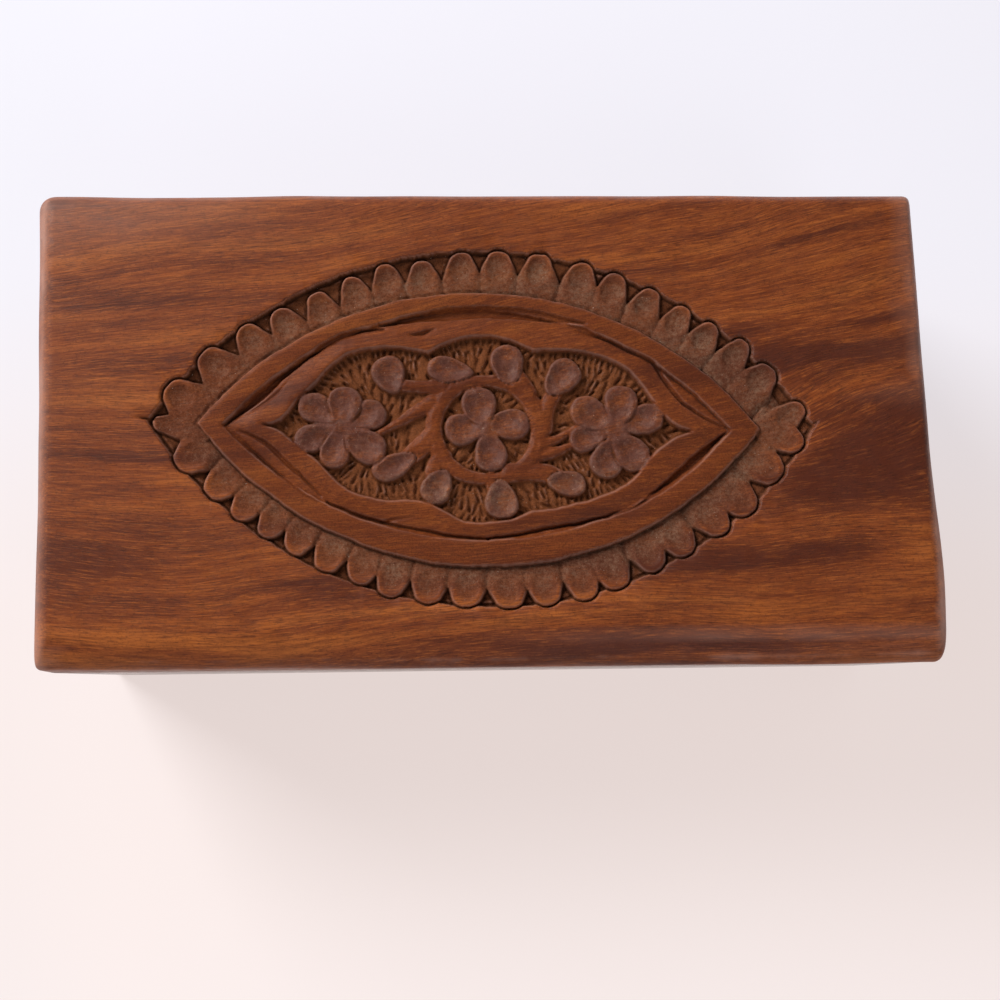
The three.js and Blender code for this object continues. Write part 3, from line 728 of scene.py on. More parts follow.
    def lobes(self) -> list[Lobe]:
        """Lobes of the border, fanned out round the band."""
        found = []
        for tips, way in ((self.back_tips, 1.0), (self.front_tips, -1.0)):
            centre = Vector((0.0, -way * self.arc_centre_y))
            places = [Vector(tip) for tip in tips]
            for i, place in enumerate(places):
                gaps = [(place - places[j]).length for j in (i - 1, i + 1) if 0 <= j < len(places)]
                outward = (place - centre).normalized()
                reach = (place - centre).length - self.band_radius
                half = sum(gaps) / len(gaps) / 2
                if place.x > self.right_end:
                    half = min(half, self.end_half_width)
                lobe = Lobe(tuple(place), tuple(outward), half, reach)
                if way < 0:
                    lobe = replace(lobe, **dict(self.front_look))
                found.append(lobe)
        end = Lobe(self.left_tip, (-1.0, 0.05), 3.0, 9.0)
        return [*found, end]

    def border(self, x: Array, y: Array) -> Pair:
        """Pits and lobes of the border, ignoring the band.

        Args:
            x: Places along the length.
            y: Places across it.

        Returns:
            The depth at each place, and the share of it that is pit.
        """
        rim = self.rim.distance(x, y) + self.rim_wobble.at(x, y)
        lobes = self.lobes()
        edges = [lobe.distance(x, y) for lobe in lobes]
        for edge in edges:
            rim = np.minimum(rim, edge - self.lobe_margin)
        depth = (self.pit_depth - self.pit_fall) * ease(-rim, *self.rim_wall)
        depth += self.pit_fall * ease(-rim, *self.pit_fall_run)
        depth += (self.rim_cut + self.rim_cut_change.at(x, y)) * self.rim_line.share(rim)
        bumps = self.pit_bumps.at(x, y) + self.pit_ridges.at(x / self.ridge_stretch, y)
        depth += bumps * ease(-rim, 0.3, 1.0)
        nearest = np.min(edges, axis=0)
        cut = self.lobe_cut * (self.lobe_cut_mean + self.lobe_cut_change.at(x, y))
        depth += cut * self.lobe_line.share(nearest) * ease(-rim, 0.0, 0.3)
        for lobe, edge in zip(lobes, edges):
            face = lobe.surface(x, y) + self.pit_depth * ease(edge, *self.lobe_wall)
            depth = np.minimum(depth, np.maximum(face, 0.0))
        return np.where(rim < 0.1, depth, 0.0), ease(nearest, *self.pit_edge)

    def stems(self, x: Array, y: Array) -> Array:
        """Vine and stems, with their walls."""
        edges = [(stem.distance(x, y), stem.depth) for stem in self.vine]
        off_x, off_y = x - self.ring_middle[0], y - self.ring_middle[1]
        power = self.ring_power
        outer = np.abs(off_x / self.ring_size[0]) ** power + np.abs(off_y / self.ring_size[1]) ** power
        outer = outer ** (1 / power)
        hole = self.ring_hole - np.hypot(off_x, off_y)
        edges.append((np.maximum((outer - 1.0) * self.ring_size[1], hole), self.vine_depth))
        relief, uneven = np.full(x.shape, UNCUT), self.stem_bumps.at(x, y)
        fall, start = self.stem_round
        for edge, top in edges:
            crown = top + uneven + fall * ease(edge, start, 0.0)
            relief = np.minimum(relief, crown + self.stem_height * ease(edge, *self.stem_wall))
        return relief

    def leaves(self, x: Array, y: Array) -> Array:
        """Buds and petals, each cut over those before it and joined at the hearts."""
        relief = np.full(x.shape, UNCUT)
        for leaf in (*self.buds, *self.petals):
            edge, face = leaf.distance(x, y), leaf.surface(x, y)
            outline_cut = self.leaf_cut * self.leaf_line.share(edge) * (relief < self.leaf_depths[1])
            relief = np.where(edge < 0, face, relief) + outline_cut
            wall = self.leaf_height * ease(edge, *self.leaf_wall) + UNCUT * (edge > 1.0)
            relief = np.minimum(relief, face + wall)
        for heart_x, heart_y, radius in self.hearts:
            near = ease(np.hypot(x - heart_x, y - heart_y), radius, self.heart_core * radius)
            relief += near * (self.heart_depth + self.heart_bumps.at(x, y) - relief)
        return relief

    def traced(self, x: Array, y: Array) -> Pair:
        """Place in the pattern, which was traced a little askew and cut by a wandering hand.

        Args:
            x: Places along the length of the lid.
            y: Places across it.

        Returns:
            The places in the pattern that lie there.
        """
        u, v = x / self.half_length, y / self.half_width
        bow = self.bow[0] * u * u + self.bow[1] * v * v + self.bow[2] * u * v
        new_x = x + self.slip[0] + self.slant[0] * u + self.slant[1] * v
        new_y = y + self.slip[1] + self.rise * (u + v) - bow
        for wave in self.wander_x:
            new_x = new_x + wave.at(x, y)
        for wave in self.wander_y:
            new_y = new_y + wave.at(x, y)
        return new_x, new_y

    def banded(
        self, x: Array, y: Array, outer: Array, inner: Array, opening: Array
    ) -> tuple[Array, Array, Array]:
        """Border, band and cusped frame.

        Args:
            x: Places along the length.
            y: Places across it.
            outer: Distance from the band's outer edge.
            inner: Distance from its inner edge.
            opening: Distance from the frame's opening.

        Returns:
            The depth at each place, that of the border alone, and the share of the border that is pit.
        """
        border, pits = self.border(x, y)
        for cut in self.point_cuts:
            border = np.maximum(border, cut.depth * ease(-cut.distance(x, y), *self.point_wall))
        uneven = self.band_cut_mean + self.band_cut_change.at(x, y)
        border += self.band_cut * uneven * self.band_line.share(outer)
        band = self.band_depth
        for edge, (fall, start) in ((outer, self.outer_round), (-inner, self.inner_round)):
            band = band + fall * ease(edge, start, 0.0)
        side = band + self.band_height * ease(outer, *self.outer_wall)
        depth = np.where(outer > 0, np.minimum(border, side), band)
        width = np.clip(opening + np.clip(-inner, 0, None), 0.2, None)
        spread = ease(np.clip(opening, 0.0, None) / width, *self.frame_fall)
        frame = self.frame_high + (self.frame_low - self.frame_high) * spread
        frame += self.frame_round[0] * ease(-opening, self.frame_round[1], 0.0)
        side = band + self.band_height * ease(-inner, *self.inner_wall)
        depth = np.where(inner < 0, np.minimum(frame, side), depth)
        for cut in self.grooves:
            depth += cut.depth * ease(-cut.distance(x, y), *self.groove_wall)
        return depth, border, pits

    def depth(self, x0: Array, y0: Array) -> tuple[Array, dict[str, Array]]:
        """Depth of the whole carving on a square grid of places.

        Args:
            x0: Places along the length, one column for each.
            y0: Places across it, one row for each.

        Returns:
            The depth below the lid's top, and the masks that the finish uses.
        """
        x, y = self.traced(x0, y0)
        outer, inner = self.band_outer.distance(x, y), self.band_inner.distance(x, y)
        outline = np.vstack([curve_through(points)[:-1] for points in self.opening])
        opening = outline_distance(x, y, outline)
        depth, border, pits = self.banded(x, y, outer, inner, opening)

        rng = np.random.default_rng(11)
        spots = self.nicks.rows(outline, rng) + self.nicks.round_ring(self.ring_middle, self.ring_hole, rng)
        ground = self.ground_depth + self.ground_bumps.at(x, y)
        ground = ground + self.nicks.depth(x0 + self.slip[0], y0 + self.slip[1], spots)
        ground = np.minimum(ground, depth + self.ground_wall_height * ease(-opening, *self.ground_wall))
        leaves, relief = self.leaves(x, y), self.stems(x, y)
        relief = np.where(leaves < self.leaf_depths[1], leaves, np.minimum(relief, leaves))
        depth = np.where(opening < 0, np.minimum(ground, relief), depth)

        in_border = (outer > 0) * ease(border, *self.border_depths)
        in_ground = (opening < 0) * ease(depth, *self.ground_depths)
        on_relief = (opening < 0) * (1 - ease(depth, *self.ground_depths))
        on_frame = ((inner < 0) & (opening >= 0)).astype(float)
        on_band = ((outer <= 0) & (inner >= 0)).astype(float)
        rough = self.fine_grit.at(x0, y0) + self.coarse_grit.at(x0, y0)
        cut = in_border + in_ground + self.relief_grit * on_relief + self.frame_grit * on_frame
        depth += rough * np.clip(cut, 0.0, 1.0)
        leafy = leaves < self.leaf_depths[0]
        frame_share, band_share, vine_share = self.framed_shares
        masks = {
            "scooped": in_border * (1.0 - pits),
            "pits": in_border * pits,
            "chiselled": in_ground,
            "leafy": on_relief * leafy,
            "framed": frame_share * on_frame + band_share * on_band + vine_share * on_relief * ~leafy,
        }
        return depth, masks


# Meshes


def mesh_object(name: str, mesh: bpy.types.Mesh) -> Piece:
    """Put a mesh in the scene under a name."""
    piece = bpy.data.objects.new(name, mesh)
    bpy.context.scene.collection.objects.link(piece)
    return piece


def from_bmesh(name: str, shape: bmesh.types.BMesh) -> Piece:
    """Turn a shape into an object and free the shape."""
    bmesh.ops.recalc_face_normals(shape, faces=shape.faces)
    mesh = bpy.data.meshes.new(name)
    shape.to_mesh(mesh)
    shape.free()
    return mesh_object(name, mesh)


def prism(name: str, outline: Sequence[Point], bottom: float, top: float) -> Piece:
    """Upright prism on a flat outline.

    Args:
        name: Name of the new object.
        outline: Corners of the plan in order.
        bottom: Height of its lower face.
        top: Height of its upper face.

    Returns:
        The object, still in millimetres.
    """
    shape = bmesh.new()
    floor = shape.faces.new([shape.verts.new((x, y, bottom)) for x, y in outline])
    raised = bmesh.ops.extrude_face_region(shape, geom=[floor])
    corners = [item for item in raised["geom"] if isinstance(item, bmesh.types.BMVert)]
    bmesh.ops.translate(shape, verts=corners, vec=(0.0, 0.0, top - bottom))
    return from_bmesh(name, shape)


def block(name: str, low: Sequence[float], high: Sequence[float]) -> Piece:
    """Rectangular block between two corners, in millimetres."""
    plan = [(low[0], low[1]), (high[0], low[1]), (high[0], high[1]), (low[0], high[1])]
    return prism(name, plan, low[2], high[2])


def turned(name: str, profile: Sequence[Point], sides: int = 40) -> Piece:
    """Round piece turned about Z.

    Args:
        name: Name of the new object.
        profile: Radius and height of each corner; it starts and ends on the axis.
        sides: Flat sides of the round.

    Returns:
        The object, still in millimetres.
    """
    shape = bmesh.new()
    foot, *rings, head = profile
    ends = [shape.verts.new((0.0, 0.0, height)) for _, height in (foot, head)]
    turns = [2 * math.pi * i / sides for i in range(sides)]
    loops = []
    for radius, height in rings:
        places = [(radius * math.cos(turn), radius * math.sin(turn)) for turn in turns]
        loops.append([shape.verts.new((x, y, height)) for x, y in places])
    for i in range(sides):
        j = (i + 1) % sides
        shape.faces.new((ends[0], loops[0][j], loops[0][i]))
        shape.faces.new((ends[1], loops[-1][i], loops[-1][j]))
        for low, high in zip(loops, loops[1:]):
            shape.faces.new((low[i], low[j], high[j], high[i]))
    return from_bmesh(name, shape)


def rod(name: str, radius: float, ends: tuple[float, float], y: float, z: float) -> Piece:
    """Round rod along X with slightly eased ends.

    Args:
        name: Name of the new object.
        radius: Its radius.
        ends: Where it starts and ends along X.
        y: Place of its middle line.
        z: Height of its middle line.

    Returns:
        The object, still in millimetres.
    """
    low, high = ends
    ease_by = radius * 0.12
    profile = [(0.0, low), (radius - ease_by, low), (radius, low + ease_by)]
    profile += [(radius, high - ease_by), (radius - ease_by, high), (0.0, high)]
    piece = turned(name, profile)
    piece.data.transform(Matrix.Translation((0.0, y, z)) @ Matrix.Rotation(math.pi / 2, 4, "Y"))
    return piece


def combine(piece: Piece, tools: Sequence[Piece], operation: str) -> Piece:
    """Cut tools out of a piece, or join them to it, and remove the tools.

    Args:
        piece: What is worked on.
        tools: Solids to cut away or to join.
        operation: DIFFERENCE or UNION.

    Returns:
        The same piece.
    """
    for tool in tools:
        step = piece.modifiers.new("step", "BOOLEAN")
        step.object = tool
        step.operation = operation
        step.solver = "EXACT"
        apply_modifiers(piece)
        bpy.data.objects.remove(tool)
    return piece


def apply_modifiers(piece: Piece) -> None:
    """Replace a piece's mesh with what its modifiers make of it."""
    graph = bpy.context.evaluated_depsgraph_get()
    graph.update()
    made = bpy.data.meshes.new_from_object(piece.evaluated_get(graph))
    piece.modifiers.clear()
    old, piece.data = piece.data, made
    bpy.data.meshes.remove(old)
    made.name = piece.name


def soften(piece: Piece, width: float, segments: int = 2, above: float = 35.0) -> Piece:
    """Ease the sharp edges of a piece.

    Args:
        piece: What is worked on.
        width: Width of the eased strip.
        segments: Faces across it.
        above: Only edges sharper than this angle in degrees are eased.

    Returns:
        The same piece.
    """
    bevel = piece.modifiers.new("eased", "BEVEL")
    bevel.width = width
    bevel.segments = segments
    bevel.limit_method = "ANGLE"
    bevel.angle_limit = math.radians(above)
    bevel.miter_outer = "MITER_ARC"
    apply_modifiers(piece)
    return piece


def smooth_faces(mesh: bpy.types.Mesh, sharp_above: float) -> None:
    """Shade a mesh smooth except across edges sharper than an angle in degrees."""
    mesh.shade_smooth()
    mesh.set_sharp_from_angle(angle=math.radians(sharp_above))


def millimetres(node: str) -> Corners:
    """Lowest and highest corner of a CAD node, in millimetres."""
    low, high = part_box(node)
    return low / METRES, high / METRES


def places_of(mesh: bpy.types.Mesh) -> Array:
    """Places of a mesh's points, one row for each."""
    places = np.zeros(len(mesh.vertices) * 3, np.float32)
    mesh.vertices.foreach_get("co", places)
    return places.reshape(-1, 3)


@dataclass(frozen=True)
class HandWork:
    """What the maker's hand leaves: the box is slightly out of square."""

    skew: float = 1.0  # how far the back lies to the left, and the front to the right
    half_depth: float = 48.5

    def lean(self, piece: Piece) -> None:
        """Move a piece's points sideways by their place between front and back."""
        for vertex in piece.data.vertices:
            vertex.co.x -= self.skew * vertex.co.y / self.half_depth


HAND = HandWork()


def settle(
    piece: Piece, body: Body, nodes: Sequence[str], finish: Material
) -> Piece:
    """Bring a finished piece to metres, dress it and let it ride on its body.

    Args:
        piece: Piece in millimetres, at its place.
        body: Body that it moves with.
        nodes: CAD nodes that it stands for.
        finish: Its material.

    Returns:
        The same piece.
    """
    piece.data.transform(Matrix.Scale(METRES, 4))
    piece.data.materials.clear()
    piece.data.materials.append(finish)
    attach(piece, body.value)
    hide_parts(*nodes)
    LOG.info("%s: %d faces", piece.name, len(piece.data.polygons))
    return piece


# Finishes


class ShaderSheet:
    """Adds nodes to one new material and links them."""

    def __init__(self, name: str) -> None:
        """Start an empty material with a principled shader."""
        self.material = bpy.data.materials.new(name)
        self.material.use_nodes = True
        self.tree = self.material.node_tree
        self.tree.nodes.clear()
        self.output = self.tree.nodes.new("ShaderNodeOutputMaterial")

    def add(self, kind: str, inputs: dict[Any, Any] | None = None, **settings: Any) -> bpy.types.Node:
        """Add one node.

        Args:
            kind: Node type without its ShaderNode prefix.
            inputs: Sockets or plain values, by input name or number.
            **settings: Properties of the node.

        Returns:
            The node.
        """
        node = self.tree.nodes.new("ShaderNode" + kind)
        for key, value in settings.items():
            setattr(node, key, value)
        for key, value in (inputs or {}).items():
            if isinstance(value, bpy.types.NodeSocket):
                self.tree.links.new(value, node.inputs[key])
            elif value is not None:
                node.inputs[key].default_value = value
        return node

    def math(self, operation: str, a: Any, b: Any = None, c: Any = None, clamp: bool = False) -> Any:
        """Arithmetic on one, two or three values."""
        return self.add("Math", {0: a, 1: b, 2: c}, operation=operation, use_clamp=clamp).outputs[0]

    def times(self, a: Any, b: Any) -> Any:
        """Product of two values."""
        return self.math("MULTIPLY", a, b)

    def larger(self, a: Any, b: Any) -> Any:
        """Larger one of two values."""
        return self.math("MAXIMUM", a, b)

    def vector(self, operation: str, a: Any, b: Any = None) -> Any:
        """Arithmetic on one or two vectors."""
        return self.add("VectorMath", {0: a, 1: b}, operation=operation).outputs[0]

    def place(self) -> Any:
        """Place on the piece, in millimetres."""
        return self.vector("MULTIPLY", self.add("TexCoord").outputs["Object"], (1 / METRES,) * 3)

    def span(self, value: Any, low: float, high: float, start: float = 0.0, end: float = 1.0) -> Any:
        """Smooth step of a value from one range to another."""
        inputs = {"Value": value, "From Min": low, "From Max": high, "To Min": start, "To Max": end}
        return self.add("MapRange", inputs, interpolation_type="SMOOTHSTEP").outputs[0]

    def blend(self, share: Any, a: Any, b: Any) -> Any:
        """Mix two colours."""
        node = self.add("Mix", None, data_type="RGBA")
        for index, value in ((0, share), (6, a), (7, b)):
            if isinstance(value, bpy.types.NodeSocket):
                self.tree.links.new(value, node.inputs[index])
            elif index == 0:
                node.inputs[0].default_value = value
            else:
                node.inputs[index].default_value = (*value, 1.0)
        return node.outputs[2]

    def layered(self, colour: Any, layers: Sequence[tuple[Any, Colour]]) -> Any:
        """Lay colours over one another, each with its share."""
        for share, tone in layers:
            colour = self.blend(share, colour, tone)
        return colour

    def noise(self, vector: Any, scale: float, detail: float = 2.0, roughness: float = 0.5) -> Any:
        """Noise from 0 to 1."""
        inputs = {"Vector": vector, "Scale": scale, "Detail": detail, "Roughness": roughness}
        return self.add("TexNoise", inputs).outputs["Fac"]

    def attribute(self, name: str) -> Any:
        """A value stored on the mesh."""
        return self.add("Attribute", None, attribute_name=name).outputs["Fac"]

    def finish(self, inputs: dict[str, Any]) -> Material:
        """Close the material with a principled shader.

        Args:
            inputs: The shader's inputs by name.

        Returns:
            The material.
        """
        shader = self.add("BsdfPrincipled", inputs)
        self.tree.links.new(shader.outputs[0], self.output.inputs[0])
        return self.material


def linear(red: int, green: int, blue: int) -> Colour:
    """Linear colour from display values of 0 to 255."""
    shares = (value / 255 for value in (red, green, blue))
    return tuple(s / 12.92 if s <= 0.04045 else ((s + 0.055) / 1.055) ** 2.4 for s in shares)


@dataclass(frozen=True)
class Streak:
    """One broad stripe of darker or lighter tone along the lid: figure in the wood, and in some streaks
    painted shade.
    """

    y: float
    width: float
    left: float
    right: float
    # Some darker streaks paint shade where the light falls off.
    strength: float  # above 0 for lighter and below for darker wood


@dataclass(frozen=True)
class CarvedTones:
    """Colours that the carved parts of the lid take on."""

    framed: Colour = linear(100, 50, 29)
    # Darker purplish tone of the petals, laid in cloudy patches that also paint sheen on them.
    mauve_sheen: Colour = linear(96, 54, 43)
    scooped: Colour = linear(100, 56, 39)
    pale: Colour = linear(150, 112, 90)
    mottled: Colour = linear(66, 35, 20)
    chiselled: Colour = linear(118, 68, 39)
    pitted: Colour = linear(98, 56, 34)
    speck: Colour = linear(205, 180, 160)


@dataclass(frozen=True)
class Rosewood:
    """Oiled reddish-brown hardwood with streaks, short dark pores and pale wear on its edges; on the carved
    lid some streaks paint shade, and shade and sheen are painted into the carving.
    """

    name: str
    grain: Grain = Grain.LENGTHWAYS
    start: Triple = (0.0, 0.0, 0.0)  # where the board was cut from the log
    dark: Colour = linear(82, 37, 22)
    middle: Colour = linear(130, 64, 29)
    light: Colour = linear(168, 92, 40)
    pore: Colour = linear(50, 24, 15)
    # Pale colour of wear; on the carved board it also paints sheen along the edges.
    worn_and_sheen: Colour = linear(198, 156, 140)
    dust: Colour = linear(128, 98, 78)
    # Colour of the painted shade in the carving's cuts and hollows.
    crevice: Colour = linear(40, 21, 12)
    streaks: tuple[Streak, ...] = ()
    tones: CarvedTones = CarvedTones()
    carved: bool = False
    rise: float = 0.0  # how far the grain rises at the back right
    tilt: float = 0.03  # slope of the grain at the back
    roughness: float = 0.46
    gloss: float = 0.16
    wear: float = 0.5

    def material(self, low: Vector, high: Vector) -> Material:
        """Build the wood for one board.

        Args:
            low: Lowest corner of the board, in millimetres.
            high: Highest corner.

        Returns:
            The material.
        """
        sheet = ShaderSheet(self.name)
        place = sheet.place()
        x, y, z = sheet.add("SeparateXYZ", {0: place}).outputs
        along, across = (x, y) if self.grain is Grain.LENGTHWAYS else (y, x)
        grain = self.bent(sheet, along, across, z)
        tone = self.figure(sheet, grain, along, across)
        colour = sheet.blend(sheet.span(tone, 0.12, 0.52), self.dark, self.middle)
        colour = sheet.blend(sheet.span(tone, 0.46, 0.95), colour, self.light)
        fibre = sheet.noise(self.stretched(sheet, grain, 0.09, 1.9), 1.0, 4.0, 0.75)
        hairs = sheet.noise(self.stretched(sheet, grain, 0.2, 3.6), 1.0, 3.0, 0.8)
        lit = sheet.times(sheet.span(hairs, 0.5, 0.68), sheet.span(tone, 0.1, 0.4, 0.16, 0.65))
        grime = sheet.noise(place, 1.9, 3.0, 0.8)
        pores = sheet.noise(self.stretched(sheet, grain, 0.4, 5.6), 1.0, 2.0, 0.6)
        crowd = sheet.noise(self.stretched(sheet, grain, 0.04, 0.2), 1.0, 2.0, 0.5)
        pores = sheet.span(sheet.math("MULTIPLY_ADD", crowd, 0.3, pores), 0.66, 0.84)
        layers = (
            (sheet.span(fibre, 0.36, 0.64, 0.5, 0.0), self.dark),
            (lit, self.light),
            (sheet.span(hairs, 0.47, 0.34, 0.0, 0.6), self.dark),
            (sheet.span(grime, 0.5, 0.3, 0.0, 0.4), self.pore),
            (sheet.times(pores, 0.45), self.pore),
            (self.edge_wear(sheet, place, low, high), self.worn_and_sheen),
        )
        colour = sheet.layered(colour, layers)
        low_rough, high_rough = self.roughness - 0.05, self.roughness + 0.07
        rough = sheet.span(sheet.noise(place, 0.35, 2.0), 0.3, 0.7, low_rough, high_rough)
        height = sheet.math("MULTIPLY_ADD", hairs, 1.2, sheet.times(pores, -0.6))
        gloss: Any = self.gloss
        if self.carved:
            colour, rough, gloss, height = self.carving(sheet, place, colour, rough, height)
        bump = sheet.add("Bump", {"Strength": 0.35, "Distance": 0.00006, "Height": height})
        inputs = {"Base Color": colour, "Roughness": rough, "Normal": bump.outputs[0]}
        return sheet.finish({**inputs, "Specular IOR Level": gloss, "IOR": 1.5})

    def bent(self, sheet: ShaderSheet, along: Any, across: Any, z: Any) -> tuple[Any, Any, Any]:
        """Place in the log: the grain drifts sideways along the board."""
        low = sheet.add("CombineXYZ", {0: along, 1: across, 2: z}).outputs[0]
        low = sheet.vector("MULTIPLY", low, (0.012, 0.022, 0.03))
        low = sheet.vector("ADD", low, self.start)
        drift = sheet.math("MULTIPLY_ADD", sheet.noise(low, 1.0, 2.0, 0.45), 16.0, across)
        rise = sheet.times(sheet.span(along, -20.0, 100.0), sheet.span(across, -25.0, 15.0))
        tilt = sheet.span(across, -30.0, 25.0, 0.02, self.tilt)
        rise = sheet.math("MULTIPLY_ADD", along, tilt, sheet.times(rise, self.rise))
        return along, sheet.math("SUBTRACT", drift, rise), z

    def stretched(self, sheet: ShaderSheet, grain: tuple[Any, Any, Any], run: float, cross: float) -> Any:
        """Coordinates for noise that is long along the grain and short across it."""
        parts = [sheet.times(part, scale) for part, scale in zip(grain, (run, cross, cross))]
        joined = sheet.add("CombineXYZ", dict(enumerate(parts))).outputs[0]
        return sheet.vector("ADD", joined, self.start)

    def figure(self, sheet: ShaderSheet, grain: tuple[Any, Any, Any], along: Any, across: Any) -> Any:
        """Broad light and dark figure of the board, with painted shade from some streaks, from 0 to 1."""
        broad = sheet.noise(self.stretched(sheet, grain, 0.011, 0.1), 1.0, 3.0, 0.55)
        narrow = sheet.noise(self.stretched(sheet, grain, 0.03, 0.34), 1.0, 4.0, 0.6)
        tone = sheet.math("MULTIPLY_ADD", broad, 1.4, sheet.times(narrow, 1.2))
        tone = sheet.math("SUBTRACT", tone, 0.82)
        for streak in self.streaks:
            gap = sheet.math("ABSOLUTE", sheet.math("SUBTRACT", grain[1], streak.y + 8.0))
            band = sheet.span(gap, streak.width / 2, 0.0)
            start = sheet.span(along, streak.left - 8, streak.left + 8)
            end = sheet.span(along, streak.right + 8, streak.right - 8)
            band = sheet.times(band, sheet.times(start, end))
            band = sheet.times(band, sheet.span(narrow, 0.3, 0.6, 0.3, 1.2))
            tone = sheet.math("MULTIPLY_ADD", band, streak.strength, tone)
        return tone

    def edge_wear(self, sheet: ShaderSheet, place: Any, low: Vector, high: Vector) -> Any:
        """How much pale wear the wood shows: most along the edges where two faces of the board meet."""
        middle, half = (low + high) / 2, (high - low) / 2
        off = sheet.vector("SUBTRACT", place, tuple(middle))
        off = sheet.vector("ABSOLUTE", off)
        gaps = sheet.add("VectorMath", {0: tuple(half), 1: off}, operation="SUBTRACT").outputs[0]
        a, b, c = sheet.add("SeparateXYZ", {0: gaps}).outputs
        smaller, larger = sheet.math("MINIMUM", a, b), sheet.larger(a, b)
        second = sheet.larger(smaller, sheet.math("MINIMUM", larger, c))
        patchy = sheet.noise(place, 0.12, 3.0, 0.6)
        second = sheet.math("MULTIPLY_ADD", patchy, 3.0, second)
        return sheet.span(second, 3.6, 0.8, 0.0, self.wear)

    def carving(
        self, sheet: ShaderSheet, place: Any, colour: Any, rough: Any, height: Any
    ) -> tuple[Any, Any, Any, Any]:
        """Dull, dusty look of the carved parts, with painted shade in the cuts and painted sheen on the
        petals and the edges, from the masks on the mesh.

        Args:
            sheet: The material's nodes.
            place: Place on the board, in millimetres.
            colour: Colour of the plain wood.
            rough: Its roughness.
            height: Its relief.

        Returns:
            The colour, roughness, gloss and relief with the carving's look worked in.
        """
        tones = self.tones
        speckle = sheet.noise(place, 1.2, 5.0, 0.85)
        grit = sheet.noise(place, 3.2, 3.0, 0.7)
        pits = sheet.attribute("pits")
        scooped, chiselled = sheet.attribute("scooped"), sheet.attribute("chiselled")
        leafy, framed = sheet.attribute("leafy"), sheet.attribute("framed")
        dull = sheet.larger(sheet.larger(scooped, pits), chiselled)
        carved = sheet.larger(dull, leafy)
        textured = sheet.times(sheet.larger(scooped, leafy), 0.6)
        textured = sheet.larger(textured, sheet.larger(pits, chiselled))
        dusty = sheet.times(sheet.attribute("dusty"), sheet.span(speckle, 0.36, 0.62, 0.1, 1.0))
        cloud = sheet.span(sheet.noise(place, 0.35, 3.0, 0.6), 0.36, 0.62, 0.25, 0.9)
        shade = sheet.larger(textured, sheet.times(framed, 0.8))
        specks = sheet.times(carved, sheet.span(sheet.noise(place, 3.1, 1.0), 0.76, 0.8))
        layers = (
            (sheet.times(framed, 0.5), tones.framed),
            # Petals' purplish tone in cloudy patches, partly painted sheen.
            (sheet.times(leafy, cloud), tones.mauve_sheen),
            (sheet.times(scooped, 0.6), tones.scooped),
            (sheet.times(textured, sheet.span(speckle, 0.52, 0.66, 0.0, 0.45)), tones.pale),
            (sheet.times(textured, sheet.span(speckle, 0.5, 0.36, 0.0, 0.6)), tones.mottled),
            (sheet.times(chiselled, 0.9), tones.chiselled),
            (sheet.times(pits, 0.85), tones.pitted),
            (dusty, self.dust),
            # Painted shade in the low spots of the fine grit that also roughens the carved relief.
            (sheet.times(shade, sheet.span(grit, 0.58, 0.34, 0.0, 0.5)), self.crevice),
            # Painted shade in the cuts and hollows.
            (sheet.attribute("crevice"), self.crevice),
            (sheet.times(sheet.attribute("crest"), 0.22), self.worn_and_sheen),
            (sheet.times(specks, 0.55), tones.speck),
            # Pale edges of the carved board: wear and painted sheen.
            (sheet.attribute("rubbed_sheen"), self.worn_and_sheen),
        )
        colour = sheet.layered(colour, layers)
        rough = sheet.math("MULTIPLY_ADD", dull, 0.25, rough)
        gloss = sheet.math("MULTIPLY_ADD", sheet.larger(dull, framed), -0.7 * self.gloss, self.gloss)
        height = sheet.math("MULTIPLY_ADD", sheet.times(carved, grit), 4.5, height)
        return colour, rough, gloss, height


@dataclass(frozen=True)
class Metal:
    """Turned or rolled metal with tarnish and fine scratches."""

    name: str
    base: Colour
    tarnish: Colour
    roughness: float

    def material(self) -> Material:
        """Build the metal."""
        sheet = ShaderSheet(self.name)
        place = sheet.place()
        stain = sheet.noise(place, 0.7, 4.0, 0.65)
        colour = sheet.blend(sheet.span(stain, 0.42, 0.68), self.base, self.tarnish)
        rolled = sheet.vector("MULTIPLY", place, (0.6, 9.0, 9.0))
        scratches = sheet.noise(rolled, 1.0, 3.0, 0.7)
        rough = sheet.span(stain, 0.35, 0.7, self.roughness, self.roughness + 0.22)
        bump = sheet.add("Bump", {"Strength": 0.25, "Distance": 0.00002, "Height": scratches})
        inputs = {"Base Color": colour, "Roughness": rough, "Normal": bump.outputs[0]}
        return sheet.finish({**inputs, "Metallic": 1.0})


BRASS = Metal("aged_brass", linear(186, 146, 82), linear(122, 88, 48), 0.3)
STEEL = Metal("drawn_steel", linear(168, 168, 170), linear(108, 104, 100), 0.32)


# Sub-assemblies


